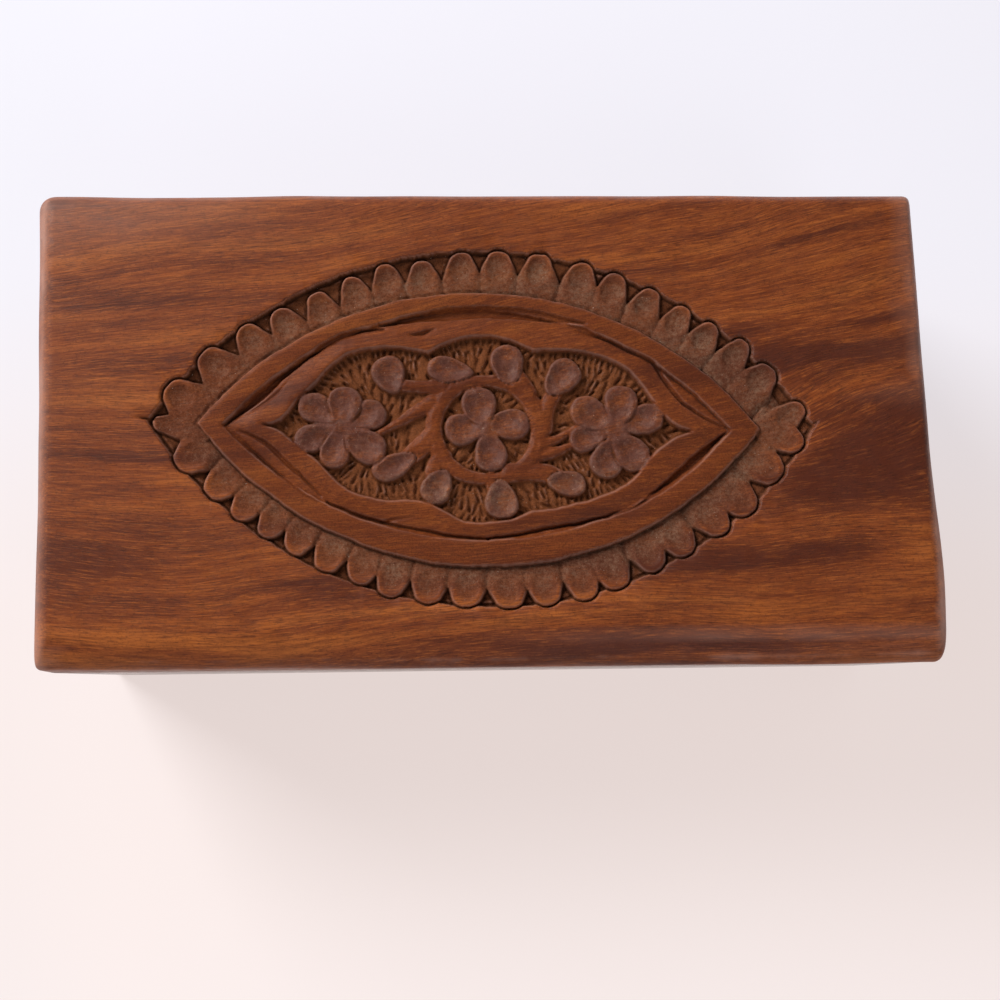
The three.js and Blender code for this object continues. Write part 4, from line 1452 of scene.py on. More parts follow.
@dataclass(frozen=True)
class SandedEdges:
    """How the board's sanded edges stray from a true rectangle.

    A bulge and a hollow are given by their height, their place across the lid and their breadth.
    """

    back_thinned: float = 0.38
    back_right_thinned: float = 0.5
    front_slant: float = 0.28
    right_narrowed: float = 0.45
    right_bulge: Triple = (0.45, -30.0, 14.0)
    left_hollow: Triple = (0.35, 2.0, 12.0)
    side_waver: Bumps = Bumps(0.16, 15.0, 53)
    end_waver: Bumps = Bumps(0.2, 21.0, 54)

    def swell(self, y: Array, swelling: Triple) -> Array:
        """Height of a soft swelling across the lid."""
        height, middle, breadth = swelling
        return height * np.exp(-(((y - middle) / breadth) ** 2))

    def moved(self, x: Array, y: Array, outer: Array) -> Pair:
        """New places, with the edges straying by their turn into the rounding, from 0 to 1."""
        loose = ease(outer, 0.0, 0.6)
        right, left = ease(x, 60.0, 88.0), ease(-x, 60.0, 88.0)
        thinned = (self.back_thinned + self.back_right_thinned * ease(x, 20.0, 88.0)) * ease(y, 30.0, 46.0)
        slanted = self.front_slant * x / 90.0 * ease(-y, 30.0, 46.0)
        narrowed = self.right_narrowed * ease(y, -26.0, -4.0) * right
        bulge, hollow = self.swell(y, self.right_bulge) * right, self.swell(y, self.left_hollow) * left
        new_x = x + (self.side_waver.at(x * 0, y) + bulge + hollow - narrowed) * loose
        new_y = y + (self.end_waver.at(new_x, y * 0) - thinned - slanted) * loose
        return new_x, new_y


@dataclass(frozen=True)
class LidWearAndPaintedLight:
    """Where the carved board is dusty, where painted shade darkens its cuts, where its crests wear light and
    where painted sheen lies on its edges, as shares from 0 to 1.
    """

    close_look: int = 2  # reach of a mean over the relief, in steps of its grid
    wide_look: int = 7
    dust_cloud: Bumps = Bumps(1.0, 5.0, 61)
    rub_sheen_cloud: Bumps = Bumps(0.3, 4.0, 62)
    foot_dust: float = 0.6
    carved_dust: float = 0.1
    front_bud_dust: float = 0.4
    darkest: float = 0.75
    # Strengths of the pale edges, each real wear and painted sheen together.
    left_rub_sheen: float = 0.42
    right_rub_sheen: float = 0.45
    back_right_rub_sheen: float = 0.36
    back_left_rub_sheen: float = 0.18
    back_rub_sheen: float = 0.14
    front_crease_rub_sheen: float = 0.16

    def masks(
        self, x: Array, y: Array, relief: Array, carved: dict[str, Array]
    ) -> dict[str, Array]:
        """Where dust gathers, where painted shade darkens the cuts and where crests wear light.

        Args:
            x: Places along the length.
            y: Places across it.
            relief: Depth of the carving there.
            carved: Masks of the carving.

        Returns:
            The masks by name.
        """
        near, wide = blurred(relief, self.close_look), blurred(relief, self.wide_look)
        scooped, leafy = carved["scooped"], carved["leafy"]
        valley = (relief - wide) * (1.0 - carved["pits"])
        # Painted shade: darker where the relief lies below its close surroundings and along broad valleys.
        crevice = ease(relief - near, 0.05, 0.28) + 0.35 * ease(valley, 0.5, 1.2)
        dust = self.foot_dust * (ease(relief, 0.8, 1.5) * scooped)
        dust = dust + self.carved_dust * scooped + self.carved_dust * leafy
        dust = np.clip(dust + self.front_bud_dust * (leafy * ease(y, -8.0, -12.0)), 0.0, 1.0)
        patch = ease(self.dust_cloud.at(x, y), -0.5, 0.6)
        crest = ease(near - relief, 0.05, 0.2) * ease(relief, 0.1, 0.3)
        return {
            "crevice": np.clip(crevice, 0.0, self.darkest) * (1.0 - 0.35 * carved["chiselled"]),
            "dusty": dust * (0.45 + 0.55 * patch) * (0.35 + 0.65 * ease(x, -60.0, -25.0)),
            "crest": crest * (1.0 - 0.6 * np.maximum(leafy, scooped)),
        }

    def rubbed_sheen(self, x: Array, y: Array, z: Array) -> Array:
        """How far the finish wears off, together with painted sheen on the rounded edges: along the edges
        and widely at the back left.

        Args:
            x: Places of the board's points along the length.
            y: Their places across it.
            z: Their heights.

        Returns:
            The share of bare wood and painted sheen at each point.
        """
        left, right, front, back = x - x.min(), x.max() - x, y - y.min(), y.max() - y
        patches = 0.7 + self.rub_sheen_cloud.at(x, y)
        # Wear and painted sheen: pale along the rounded edges, most at the left and right, at the back and
        # along the front crease.
        corner = self.back_left_rub_sheen * ease(back, 16.0, 4.0) * ease(x, -20.0, -75.0)
        edges = np.maximum(self.left_rub_sheen * ease(left, 3.6, 1.0), self.right_rub_sheen * ease(right, 2.4, 0.6))
        edges = np.maximum(edges, self.back_right_rub_sheen * ease(right, 6.5, 0.8) * ease(y, -2.0, 14.0))
        crease = self.front_crease_rub_sheen * (1 - ease(np.abs(front - 6.0), 0.3, 1.8)) * ease(x, -10.0, 45.0)
        back_edge = np.maximum(crease, self.back_rub_sheen * ease(back, 2.4, 0.4))
        shares = np.maximum(np.maximum(edges, corner), back_edge)
        return shares * patches * (0.2 + 0.8 * ease(z.max() - z, 7.0, 3.6))


@dataclass
class CarvedBoard:
    """Carved board that tops the lid, with rounded upper edges."""

    front_round: float = 8.0
    back_round: float = 4.0
    left_round: float = 4.0
    right_round: float = 3.0
    fall: float = 4.0
    fall_change: Bumps = Bumps(0.22, 17.0, 51)
    top_waver: Bumps = Bumps(0.05, 14.0, 52)
    top_sanded: float = 0.06
    corner_powers: tuple[float, ...] = (9.0, 2.9, 2.4, 4.5)  # front left, front right, back left, back right
    round_steps: int = 9
    fine_step: float = 0.2
    coarse_step: float = 1.5
    fine_left: float = -71.5
    fine_right: float = 69.0
    fine_front: float = -39.4
    fine_back: float = 38.6
    faces_kept: int = 188_000
    carving: LidCarving = LidCarving()
    edges: SandedEdges = SandedEdges()
    # Dust, wear, painted shade and painted sheen of the carved board.
    wear: LidWearAndPaintedLight = LidWearAndPaintedLight()

    def build(self) -> Piece:
        """Model, dress and place the board."""
        low, high = millimetres("lid_top_board")
        fine_x, fine_y = self.fine_lines()
        columns = self.stations(low.x, high.x, self.left_round, self.right_round, fine_x)
        rows = self.stations(low.y, high.y, self.front_round, self.back_round, fine_y)
        grid = np.meshgrid(fine_x, fine_y)
        relief, masks = self.carving.depth(*grid)
        relief = blurred(relief, 1)
        masks |= self.wear.masks(*grid, relief, masks)
        piece = self.skin(columns, rows, low, high, relief)
        self.thin_out(piece)
        self.store(piece, masks)
        HAND.lean(piece)
        self.lay_flat_map(piece)
        smooth_faces(piece.data, 180.0)
        finish = LID_WOOD.material(low, high)
        return settle(piece, Body.LID, ["lid_top_board"], finish)

    def fine_lines(self) -> Pair:
        """Columns and rows of the fine grid over the carving."""
        x = np.arange(self.fine_left, self.fine_right + TINY, self.fine_step)
        y = np.arange(self.fine_front, self.fine_back + TINY, self.fine_step)
        return x, y

    def stations(
        self, low: float, high: float, low_round: float, high_round: float, fine: Array
    ) -> Pair:
        """Grid lines across one direction of the board.

        Args:
            low: Lower side of the board.
            high: Higher side.
            low_round: Reach of the rounding at the lower side.
            high_round: Reach of the rounding at the higher side.
            fine: Lines of the fine grid over the carving.

        Returns:
            For each line its place on the flat top, and its turn into the rounding from -1 to 1.
        """
        start, end = low + low_round, high - high_round
        before = np.linspace(start, fine[0], max(int((fine[0] - start) / self.coarse_step), 2))[:-1]
        after = np.linspace(fine[-1], end, max(int((end - fine[-1]) / self.coarse_step), 2))[1:]
        turns = np.linspace(0.0, 1.0, self.round_steps + 1)[1:]
        ends = np.full(self.round_steps, start), np.full(self.round_steps, end)
        flat = np.concatenate([ends[0], before, fine, after, ends[1]])
        turn = np.concatenate([-turns[::-1], np.zeros(len(before) + len(fine) + len(after)), turns])
        return flat, turn

    def skin(
        self,
        columns: Pair,
        rows: Pair,
        low: Vector,
        high: Vector,
        relief: Array,
    ) -> Piece:
        """Closed skin of the board.

        Args:
            columns: Grid lines along the length: their places and their turns into the rounding.
            rows: The same across it.
            low: Lowest corner of the board.
            high: Highest corner.
            relief: Depth of the carving on the fine grid.

        Returns:
            The object.
        """
        flat_x, flat_y = np.meshgrid(columns[0], rows[0])
        turn_x, turn_y = np.meshgrid(columns[1], rows[1])
        share_x, share_y = np.abs(turn_x), np.abs(turn_y)
        outer = np.maximum(share_x, share_y)
        power = np.array(self.corner_powers)[2 * (turn_y > 0) + (turn_x > 0)]
        norm = (share_x**power + share_y**power) ** (1 / power)
        out = np.sin(outer * math.pi / 2) / np.maximum(norm, TINY)
        reach_x = np.where(turn_x < 0, self.left_round, self.right_round)
        reach_y = np.where(turn_y < 0, self.front_round, self.back_round)
        x = flat_x + np.sign(turn_x) * reach_x * share_x * out
        y = flat_y + np.sign(turn_y) * reach_y * share_y * out
        wear = 1.0 + self.fall_change.at(x, y) * ease(outer, 0.0, 0.5)
        z = high.z - self.fall * wear * (1 - np.cos(outer * math.pi / 2))
        plan = np.stack([x, y], axis=-1)
        x, y = self.edges.moved(x, y, outer)
        z += self.top_waver.at(x, y) - self.top_sanded
        fine_x, fine_y = self.fine_lines()
        i = int(np.argmin(np.abs(columns[0] - fine_x[0]) + 9 * np.abs(columns[1])))
        j = int(np.argmin(np.abs(rows[0] - fine_y[0]) + 9 * np.abs(rows[1])))
        z[j:j + len(fine_y), i:i + len(fine_x)] -= relief
        return self.closed(np.stack([x, y, z], axis=-1), plan, low.z)

    def closed(self, grid: Array, plan: Array, bottom: float) -> Piece:
        """Mesh of the top grid, the sides that run down to the plain plan and a flat underside.

        Args:
            grid: Places of the top's points.
            plan: The same points' places in the plan before the hand strayed.
            bottom: Height of the underside.

        Returns:
            The object.
        """
        count_y, count_x = plan.shape[:2]
        index = np.arange(count_x * count_y).reshape(count_y, count_x)
        top, plan = grid.reshape(-1, 3), plan.reshape(-1, 2)
        quads = np.stack([index[:-1, :-1], index[:-1, 1:], index[1:, 1:], index[1:, :-1]], -1).reshape(-1, 4)
        ring = np.concatenate([index[0, :-1], index[:-1, -1], index[-1, :0:-1], index[:0:-1, 0]])
        points, faces = [top], [quads]
        above, drop = ring, top[ring, 2] - bottom
        for share in (0.35, 0.7, 1.0):
            level = top[ring].copy()
            level[:, 2] -= drop * share
            level[:, :2] += share * (plan[ring] - level[:, :2])
            below = np.arange(len(ring)) + sum(len(part) for part in points)
            faces.append(np.stack([above, below, np.roll(below, -1), np.roll(above, -1)], -1))
            points.append(level)
            above = below
        mesh = bpy.data.meshes.new("carved_lid_board")
        every = [tuple(face) for face in np.vstack(faces).tolist()]
        mesh.from_pydata(np.vstack(points).tolist(), [], [*every, above[::-1].tolist()])
        mesh.update()
        return mesh_object("carved_lid_board", mesh)

    def thin_out(self, piece: Piece) -> None:
        """Drop points where the surface is flat, down to the number of faces kept."""
        faces = sum(len(face.vertices) - 2 for face in piece.data.polygons)
        thinner = piece.modifiers.new("thinner", "DECIMATE")
        thinner.ratio = min(1.0, self.faces_kept / faces)
        apply_modifiers(piece)

    def store(self, piece: Piece, masks: dict[str, Array]) -> None:
        """Keep the masks on the mesh, sampled at its points.

        Args:
            piece: The board, before it is moved from its true place.
            masks: Values on the fine grid by name.
        """
        places = places_of(piece.data)
        fine_x, fine_y = self.fine_lines()
        u = np.clip((places[:, 0] - fine_x[0]) / self.fine_step, 0, len(fine_x) - 1.001)
        v = np.clip((places[:, 1] - fine_y[0]) / self.fine_step, 0, len(fine_y) - 1.001)
        i, j = u.astype(int), v.astype(int)
        du, dv = u - i, v - j
        for name, grid in masks.items():
            front = grid[j, i] * (1 - du) + grid[j, i + 1] * du
            back = grid[j + 1, i] * (1 - du) + grid[j + 1, i + 1] * du
            self.keep(piece, name, front * (1 - dv) + back * dv)
        self.keep(piece, "rubbed_sheen", self.wear.rubbed_sheen(*places.T))

    def keep(self, piece: Piece, name: str, values: Array) -> None:
        """Keep one value for each point of the mesh."""
        layer = piece.data.attributes.new(name, "FLOAT", "POINT")
        layer.data.foreach_set("value", values.astype(np.float32))

    def lay_flat_map(self, piece: Piece) -> None:
        """Texture map seen from straight above, for the carved face."""
        mesh = piece.data
        corners = np.zeros(len(mesh.loops), np.int32)
        mesh.loops.foreach_get("vertex_index", corners)
        places = places_of(mesh)
        low, high = places.min(0), places.max(0)
        flat = (places[:, :2] - low[:2]) / (high[0] - low[0])
        layer = mesh.uv_layers.new(name="OFBake")
        layer.data.foreach_set("uv", flat[corners].astype(np.float32).ravel())


LID_WOOD = Rosewood(
    "rosewood_carved_lid",
    carved=True,
    rise=8.0,
    tilt=0.14,
    streaks=(
        Streak(-39.0, 10.0, -75.0, 55.0, 0.3),
        # Painted shade: the front left of the lid darker, as the light falls off towards the front.
        Streak(-20.0, 26.0, -95.0, -60.0, -0.25),
        Streak(-29.0, 12.0, 20.0, 80.0, -0.5),
        # Painted shade: the front right of the lid darker, as the light falls off towards the front.
        Streak(-14.0, 30.0, 62.0, 95.0, -0.28),
        Streak(-46.0, 6.0, -20.0, 95.0, -0.25),
        Streak(42.0, 5.0, -90.0, -25.0, -0.2),
        Streak(26.0, 8.0, 35.0, 95.0, 0.15),
    ),
)


@dataclass(frozen=True)
class WallPlan:
    """Plan of the four boards of a frame: front and back lap over the ends of the sides."""

    corner_radius: float = 2.0
    corner_steps: int = 6

    def lapped(self, low: Vector, high: Vector, shoulder: float, lap: float, way: float) -> list[Point]:
        """Plan of a front or back board.

        Args:
            low: Lowest corner of the board.
            high: Highest corner.
            shoulder: Distance of its inner shoulders from the middle.
            lap: Place of the lap's inner face, across the box, as a distance from the middle.
            way: 1 for the back board and -1 for the front board.

        Returns:
            The corners in order.
        """
        inner, outer = sorted((abs(low.y), abs(high.y)))
        reach = high.x
        right = [(shoulder, inner), (shoulder, lap), (reach, lap)]
        for i in range(self.corner_steps + 1):
            angle = i * math.pi / 2 / self.corner_steps
            right.append((
                reach - self.corner_radius * (1 - math.cos(angle)),
                outer - self.corner_radius * (1 - math.sin(angle)),
            ))
        left = [(-x, y) for x, y in reversed(right)]
        return [(x, way * y) for x, y in [*right, *left]]


@dataclass
class BoxFrame:
    """Four boards round the base or round the lid's rim."""

    prefix: str
    body: Body
    nodes: tuple[str, ...]  # in the order of SIDES
    names: tuple[str, ...]
    start: float
    plan: WallPlan = WallPlan()
    edge: float = 0.35
    panel_fit: float = 0.05

    def build(self, seats: "HingeSeats", panel: Corners | None) -> None:
        """Model, dress and place the four boards.

        Args:
            seats: Cuts for the hinges in the back board.
            panel: Corners of the bottom panel that sits in the boards' rebates, if there is one.
        """
        boards = front, back, left, right = [millimetres(node) for node in self.nodes]
        shoulder, lap = right[0].x, right[1].y
        ends = [self.plan.lapped(*front, shoulder, lap, -1.0), self.plan.lapped(*back, shoulder, lap, 1.0)]
        sides = [self.side_plan(*corners) for corners in (left, right)]
        loose = Vector((self.panel_fit, self.panel_fit, 0.0))
        for i, (outline, (low, high)) in enumerate(zip([*ends, *sides], boards)):
            piece = prism(self.names[i], outline, low.z, high.z)
            HAND.lean(piece)
            if panel:
                rebate = block("rebate", panel[0] - loose - Vector((0.0, 0.0, 1.0)), panel[1] + loose)
                combine(piece, [rebate], "DIFFERENCE")
            if i == 1:
                combine(piece, seats.cutters(low.z, high.z), "DIFFERENCE")
            soften(piece, self.edge)
            smooth_faces(piece.data, 32.0)
            grain = Grain.LENGTHWAYS if i < 2 else Grain.CROSSWAYS
            start = (self.start, 3.7 * i, 1.3 * i)
            wood = Rosewood(f"rosewood_{self.names[i]}", grain, start, **WALL_TONES)
            settle(piece, self.body, [self.nodes[i]], wood.material(low, high))

    def side_plan(self, low: Vector, high: Vector) -> list[Point]:
        """Plan of a side board between the laps."""
        return [(low.x, low.y), (high.x, low.y), (high.x, high.y), (low.x, high.y)]


WALL_TONES = {
    "dark": linear(66, 33, 25),
    "middle": linear(104, 53, 35),
    "light": linear(138, 76, 44),
    "roughness": 0.18,
    "gloss": 0.5,
    "wear": 0.3,
}


@dataclass
class HingeSeats:
    """Recesses for the hinges and the bevels along the back of the seam."""

    fit: float = 0.2
    bevel_angle: float = 50.6
    bevel_reach: float = 3.0
    bevel_length: float = 190.0

    def axis(self) -> tuple[float, float]:
        """Place of the hinge axis across the box and its height."""
        low, high = millimetres("left_hinge_pin")
        return (low.y + high.y) / 2, (low.z + high.z) / 2

    def cutters(self, bottom: float, top: float) -> list[Piece]:
        """Solids to cut out of the back board.

        Args:
            bottom: Lower side of the board.
            top: Upper side.

        Returns:
            The seats, the grooves for the knuckles and the bevel.
        """
        axis_y, axis_z = self.axis()
        up = 1.0 if top > axis_z else -1.0
        leaves = ("left_hinge_lid_leaf", "right_hinge_lid_leaf")
        if up < 0:
            leaves = ("left_hinge_base_leaf", "right_hinge_base_leaf")
        tools = []
        for leaf in leaves:
            low, high = millimetres(leaf)
            radius = high.y - axis_y + self.fit
            face = bottom if up > 0 else top
            levels = sorted((face - up, face + up * (LEAF_THICKNESS + self.fit)))
            corner = Vector((low.x - self.fit, low.y - self.fit, levels[0]))
            tools.append(block("seat", corner, (high.x + self.fit, axis_y, levels[1])))
            tools.append(rod("groove", radius, (low.x - self.fit, high.x + self.fit), axis_y, axis_z))
        tools.append(self.bevel(axis_y, axis_z, up))
        return tools

    def bevel(self, axis_y: float, axis_z: float, up: float) -> Piece:
        """Wedge that is planed off the back edge at the seam.

        Args:
            axis_y: Place of the hinge axis across the box.
            axis_z: Its height.
            up: 1 for the lid and -1 for the base.

        Returns:
            The solid to cut away.
        """
        reach, half = self.bevel_reach, self.bevel_length / 2
        drop = reach * math.tan(math.radians(self.bevel_angle))
        outline = [(0.0, 0.0), (reach, 0.0), (reach, up * drop)]
        piece = prism("bevel", outline if up > 0 else outline[::-1], -half, half)
        turn = Matrix(((0, 0, 1, 0), (1, 0, 0, axis_y), (0, 1, 0, axis_z), (0, 0, 0, 1)))
        piece.data.transform(turn)
        return piece


@dataclass
class BottomPanel:
    """Bottom board and the steel pins that hold it."""

    pins: int = 8
    head_height: float = 0.6
    fit: float = 0.2

    def build(self) -> None:
        """Model, dress and place the panel and its pins."""
        low, high = millimetres("base_bottom_panel")
        piece = block("bottom_board", low, high)
        sinks = []
        for i in range(self.pins):
            pin_low, pin_high = millimetres(f"bottom_pin_{i + 1}")
            middle = (pin_low + pin_high) / 2
            radius = (pin_high.x - pin_low.x) / 2
            sinks.append(self.sink(middle, radius))
            self.pin(i + 1, middle, radius, pin_high.z)
        combine(piece, sinks, "DIFFERENCE")
        soften(piece, 0.2)
        smooth_faces(piece.data, 32.0)
        tones = {"dark": linear(96, 60, 42), "middle": linear(136, 90, 60), "light": linear(164, 116, 80)}
        wood = Rosewood("plain_bottom_board", start=(9.0, 2.0, 5.0), roughness=0.62, wear=0.2, **tones)
        settle(piece, Body.BASE, ["base_bottom_panel"], wood.material(low, high))

    def sink(self, middle: Vector, radius: float) -> Piece:
        """Countersink for a pin's head."""
        wide = radius + self.fit
        tool = turned("sink", [(0.0, -1.0), (wide, -1.0), (wide, 0.8), (0.0, 0.8)], 32)
        tool.data.transform(Matrix.Translation((middle.x, middle.y, 0.0)))
        return tool

    def pin(self, number: int, middle: Vector, radius: float, length: float) -> None:
        """One panel pin with a slightly domed head and a pointed end.

        Args:
            number: Its number in the CAD.
            middle: Middle of the pin.
            radius: Radius of its head.
            length: Its length.
        """
        shank, head = radius / 2, self.head_height
        profile = [(0.0, 0.0), (radius * 0.6, 0.03), (radius * 0.92, 0.12), (radius, 0.3)]
        profile += [(radius * 0.9, head), (shank, head + 0.05), (shank, length - 2 * radius)]
        profile += [(shank * 0.3, length - 0.2), (0.0, length)]
        piece = turned(f"panel_pin_{number}", profile, 32)
        piece.data.transform(Matrix.Translation((middle.x, middle.y, 0.0)))
        smooth_faces(piece.data, 45.0)
        settle(piece, Body.BASE, [f"bottom_pin_{number}"], STEEL.material())


@dataclass
class ButtHinge:
    """Brass hinge of two leaves with interleaved knuckles, a steel pin and four screws."""

    side: str
    knuckles: int = 5
    gap: float = 0.3
    clearance: float = 0.1
    slot_fit: float = 0.2
    leaf_corner: float = 0.8
    pin_radius: float = 0.7
    head_radius: float = 1.4
    head_height: float = 0.8
    shank_radius: float = 0.7
    screw_length: float = 7.0
    slot_width: float = 0.4
    slot_depth: float = 0.3
    first_thread: float = 0.5  # how far below the head
    thread_pitch: float = 0.55
    threads: int = 9

    def build(self) -> None:
        """Model, dress and place the whole hinge."""
        low, high = millimetres(f"{self.side}_hinge_pin")
        axis = (low + high) / 2
        for place, body, up in (("base", Body.BASE, -1.0), ("lid", Body.LID, 1.0)):
            self.leaf(place, body, up, axis, low.x, high.x)
            for number in (1, 2):
                self.screw(place, body, up, number)
        pin = rod(f"{self.side}_hinge_steel_pin", self.pin_radius, (low.x, high.x), axis.y, axis.z)
        smooth_faces(pin.data, 40.0)
        settle(pin, Body.BASE, [f"{self.side}_hinge_pin"], STEEL.material())

    def leaf(self, place: str, body: Body, up: float, axis: Vector, left: float, right: float) -> None:
        """One leaf with its knuckles, bore and countersunk holes.

        Args:
            place: What it is screwed to, base or lid.
            body: Body that it moves with.
            up: 1 for the lid and -1 for the base.
            axis: Middle of the hinge pin.
            left: Left end of the pin.
            right: Right end of it.
        """
        node = f"{self.side}_hinge_{place}_leaf"
        low, high = millimetres(node)
        barrel = high.y - axis.y
        screws = [millimetres(f"{self.side}_hinge_{place}_screw_{number}") for number in (1, 2)]
        face = screws[0][1].z if up < 0 else screws[0][0].z
        levels = sorted((face, face + up * LEAF_THICKNESS))
        outline = self.plate_plan(low, axis, left, right)
        plate = prism(f"{self.side}_hinge_{place}_plate", outline, *levels)
        pitch = (right - left) / self.knuckles
        own = 0 if up < 0 else 1
        joins, cuts = [], []
        for i in range(self.knuckles):
            start, end = left + i * pitch, left + (i + 1) * pitch
            if i % 2 == own:
                start += self.gap / 2 if i > 0 else 0.0
                end -= self.gap / 2 if i < self.knuckles - 1 else 0.0
                joins.append(rod("knuckle", barrel, (start, end), axis.y, axis.z))
            else:
                ends = (start - self.gap / 2, end + self.gap / 2)
                cuts.append(rod("slot", barrel + self.slot_fit, ends, axis.y, axis.z))
        combine(plate, cuts, "DIFFERENCE")
        combine(plate, joins, "UNION")
        bore = rod("bore", self.pin_radius + self.clearance, (left - 1.0, right + 1.0), axis.y, axis.z)
        combine(plate, [bore, *(self.countersink(pair, face, up) for pair in screws)], "DIFFERENCE")
        smooth_faces(plate.data, 35.0)
        settle(plate, body, [node], BRASS.material())

    def plate_plan(self, low: Vector, axis: Vector, left: float, right: float) -> list[Point]:
        """Plan of the leaf, with its free corners rounded.

        Args:
            low: Lowest corner of the leaf.
            axis: Middle of the hinge pin.
            left: Left end of the pin.
            right: Right end of it.

        Returns:
            The outline's corners in order.
        """
        corner, steps = self.leaf_corner, 5
        points = [(right, axis.y), (left, axis.y)]
        for middle_x, first in ((left + corner, 180.0), (right - corner, 270.0)):
            for i in range(steps + 1):
                angle = math.radians(first + 90.0 * i / steps)
                x, y = middle_x + corner * math.cos(angle), low.y + corner + corner * math.sin(angle)
                points.append((x, y))
        return points

    def countersink(self, pair: Corners, face: float, up: float) -> Piece:
        """Conical hole for a screw head.

        Args:
            pair: Corners of the screw.
            face: Height of the face that it is sunk into.
            up: 1 for the lid and -1 for the base.

        Returns:
            The solid to cut away.
        """
        middle = (pair[0] + pair[1]) / 2
        wide, narrow = self.head_radius + self.clearance, self.shank_radius + self.clearance
        profile = [(0.0, -1.0), (wide, -1.0), (wide, 0.0), (narrow, self.head_height)]
        tool = turned("hole", [*profile, (narrow, 2.0), (0.0, 2.0)], 32)
        tool.data.transform(Matrix.Translation((middle.x, middle.y, face)) @ Matrix.Scale(up, 4, (0, 0, 1)))
        if up < 0:
            tool.data.flip_normals()
        return tool

    def screw(self, place: str, body: Body, up: float, number: int) -> None:
        """Countersunk screw with a slotted head, in the leaf's face.

        Args:
            place: What it is driven into, base or lid.
            body: Body that it moves with.
            up: 1 for the lid and -1 for the base.
            number: Its number in the CAD.
        """
        node = f"{self.side}_hinge_{place}_screw_{number}"
        low, high = millimetres(node)
        middle = (low + high) / 2
        face = high.z if up < 0 else low.z
        shank = self.shank_radius
        profile = [(0.0, 0.0), (self.head_radius - 0.06, 0.0), (self.head_radius, 0.06)]
        profile.append((shank, self.head_height))
        for i in range(self.threads):
            height = self.head_height + self.first_thread + i * self.thread_pitch
            profile += [(shank * 0.82, height), (shank, height + 0.2), (shank * 0.82, height + 0.4)]
        profile += [(shank * 0.5, self.screw_length - 0.5), (0.0, self.screw_length)]
        piece = turned(f"{self.side}_hinge_{place}_brass_screw_{number}", profile, 28)
        half = self.slot_width / 2
        slot = block("slot", (-3.0, -half, -1.0), (3.0, half, self.slot_depth))
        slot.data.transform(Matrix.Rotation(math.radians(35.0 + 70.0 * number), 4, "Z"))
        combine(piece, [slot], "DIFFERENCE")
        turn = Matrix.Rotation(math.pi if up < 0 else 0.0, 4, "X")
        piece.data.transform(Matrix.Translation((middle.x, middle.y, face)) @ turn)
        smooth_faces(piece.data, 40.0)
        settle(piece, body, [node], BRASS.material())


# Camera and studio


@dataclass
class PhotoCamera:
    """Camera almost straight above the front edge of the lid."""

    place: Triple = (-4.1, -52.0, 328.0)
    turns: Triple = (7.83, -1.30, -0.75)
    lens: float = 48.5
    sensor: float = 36.0

    def build(self) -> None:
        """Make the camera and use it."""
        data = bpy.data.cameras.new("photo_camera")
        data.lens, data.sensor_width = self.lens, self.sensor
        data.clip_start, data.clip_end = 0.01, 20.0
        camera = bpy.data.objects.new("photo_camera", data)
        camera.location = Vector(self.place) * METRES
        camera.rotation_euler = [math.radians(turn) for turn in self.turns]
        bpy.context.scene.collection.objects.link(camera)
        bpy.context.scene.camera = camera


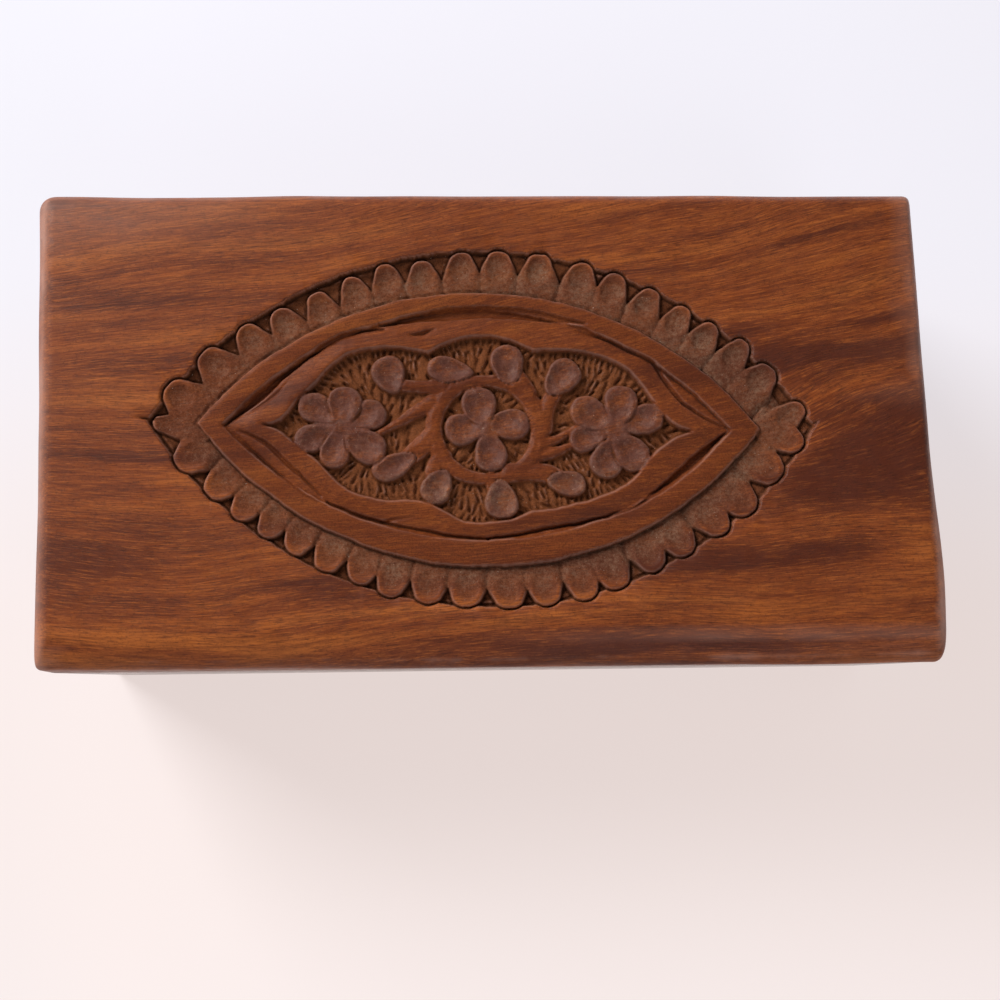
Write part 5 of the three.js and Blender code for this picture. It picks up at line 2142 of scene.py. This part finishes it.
@dataclass
class Studio:
    """Pale floor, soft key light from the back left and an even sky; all lengths here are metres."""

    floor_size: float = 6.0
    floor_front: Colour = linear(252, 246, 246)
    floor_back: Colour = linear(238, 239, 248)
    floor_left: Colour = linear(228, 230, 236)
    # Greyer floor colour to the right of the box: painted shade.
    floor_right_shade: Colour = linear(232, 227, 230)
    glow_front: Colour = linear(250, 245, 249)
    glow_back: Colour = linear(242, 239, 247)
    # Warm, darker glow that paints the box's shadow on the floor in front of it.
    painted_shadow_before_box: Colour = linear(250, 230, 221)
    glow_far: Colour = linear(241, 242, 244)
    far: Point = (0.4, 1.6)  # distances from which the floor takes on its far colour
    floor_glow: float = 1.04
    glow_share: float = 0.68
    key_place: Triple = (-0.66, 0.58, 0.7)
    key_size: float = 0.55
    key_power: float = 13.0
    key_colour: Colour = (1.0, 0.985, 0.97)
    window_place: Triple = (0.35, -0.75, 0.95)
    window_size: float = 0.5
    window_power: float = 2.2
    window_colour: Colour = (0.86, 0.9, 1.0)
    sky_colour: Colour = (0.97, 0.98, 1.0)
    sky_side: float = 0.95
    sky_top: float = 0.08

    def build(self) -> None:
        """Make the floor, the lamps and the world."""
        self.floor()
        self.lamp("key_light", self.key_place, self.key_size, self.key_power, self.key_colour)
        size, power = self.window_size, self.window_power
        self.lamp("window_light", self.window_place, size, power, self.window_colour)
        self.world()
        bpy.context.scene.view_settings.view_transform = "Standard"

    def floor(self) -> None:
        """Large pale floor under the box."""
        half = self.floor_size / 2
        shape = bmesh.new()
        corners = ((-half, -half), (half, -half), (half, half), (-half, half))
        shape.faces.new([shape.verts.new((x, y, 0.0)) for x, y in corners])
        piece = from_bmesh("studio_floor", shape)
        piece.data.materials.append(self.floor_finish())

    def floor_finish(self) -> Material:
        """Matt floor that also glows a little, where it is seen, as an overexposed one does; its glow is
        painted warmer and darker in front of the box as shadow, and its colour greyer to the right as shade.
        """
        sheet = ShaderSheet("pale_floor")
        place = sheet.add("TexCoord").outputs["Object"]
        x, y, _ = sheet.add("SeparateXYZ", {0: place}).outputs
        colour = sheet.blend(sheet.span(y, -0.17, 0.13), self.floor_front, self.floor_back)
        # Painted shade: the floor turns greyer to the right of the box.
        colour = sheet.blend(sheet.span(x, 0.05, 0.2, 0.0, 0.6), colour, self.floor_right_shade)
        colour = sheet.blend(sheet.span(x, -0.08, -0.13, 0.0, 0.6), colour, self.floor_left)
        matt = sheet.add("BsdfDiffuse", {"Color": colour}).outputs[0]
        # Painted shadow: the glow turns warm and darker just in front of the box.
        near = sheet.times(sheet.span(y, -0.3, -0.06), sheet.span(y, 0.06, -0.05))
        glow = sheet.blend(sheet.span(y, -0.1, 0.1), self.glow_front, self.glow_back)
        glow = sheet.blend(sheet.times(near, 0.8), glow, self.painted_shadow_before_box)
        away = sheet.add("VectorMath", {0: place}, operation="LENGTH").outputs["Value"]
        glow = sheet.blend(sheet.span(away, *self.far), glow, self.glow_far)
        rays = sheet.add("LightPath").outputs
        seen = sheet.math("ADD", rays["Is Camera Ray"], rays["Is Glossy Ray"], clamp=True)
        glow = sheet.add("Emission", {"Color": glow, "Strength": self.floor_glow}).outputs[0]
        share = sheet.times(seen, sheet.span(away, *self.far, self.glow_share, 1.0))
        mixed = sheet.add("MixShader", {0: share, 1: matt, 2: glow}).outputs[0]
        sheet.tree.links.new(mixed, sheet.output.inputs[0])
        return sheet.material

    def lamp(self, name: str, place: Triple, size: float, power: float, colour: Colour) -> None:
        """Square soft light that points at the box.

        Args:
            name: Name of the light.
            place: Where it stands.
            size: Length of its side.
            power: Its power in watts.
            colour: Its colour.
        """
        data = bpy.data.lights.new(name, "AREA")
        data.energy, data.size, data.color = power, size, colour
        lamp = bpy.data.objects.new(name, data)
        lamp.location = place
        lamp.rotation_euler = (-Vector(place)).to_track_quat("-Z", "Y").to_euler()
        bpy.context.scene.collection.objects.link(lamp)

    def world(self) -> None:
        """Sky that is pale at the horizon and darker overhead."""
        world = bpy.data.worlds.new("pale_sky")
        bpy.context.scene.world = world
        world.use_nodes = True
        nodes, links = world.node_tree.nodes, world.node_tree.links
        back = nodes["Background"]
        back.inputs["Color"].default_value = (*self.sky_colour, 1.0)
        facing = nodes.new("ShaderNodeSeparateXYZ")
        links.new(nodes.new("ShaderNodeTexCoord").outputs["Generated"], facing.inputs[0])
        height = nodes.new("ShaderNodeMapRange")
        height.inputs["To Min"].default_value = self.sky_side
        height.inputs["To Max"].default_value = self.sky_top
        links.new(facing.outputs[2], height.inputs["Value"])
        links.new(height.outputs[0], back.inputs["Strength"])


def main() -> None:
    """Build the scene round the frame."""
    logging.basicConfig(level=logging.INFO, format="%(name)s: %(message)s")
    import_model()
    PhotoCamera().build()
    Studio().build()
    CarvedBoard().build()
    seats = HingeSeats()
    walls = tuple(f"base_{side}_wall" for side in SIDES)
    rails = tuple(f"lid_{side}_rail" for side in SIDES)
    wall_names = tuple(f"{side}_wall_board" for side in SIDES)
    rail_names = tuple(f"{side}_rim_board" for side in SIDES)
    BoxFrame("base", Body.BASE, walls, wall_names, 4.0).build(seats, millimetres("base_bottom_panel"))
    BoxFrame("lid", Body.LID, rails, rail_names, 6.5).build(seats, None)
    BottomPanel().build()
    for side in ("left", "right"):
        ButtHinge(side).build()


if __name__ == "__main__":
    main()
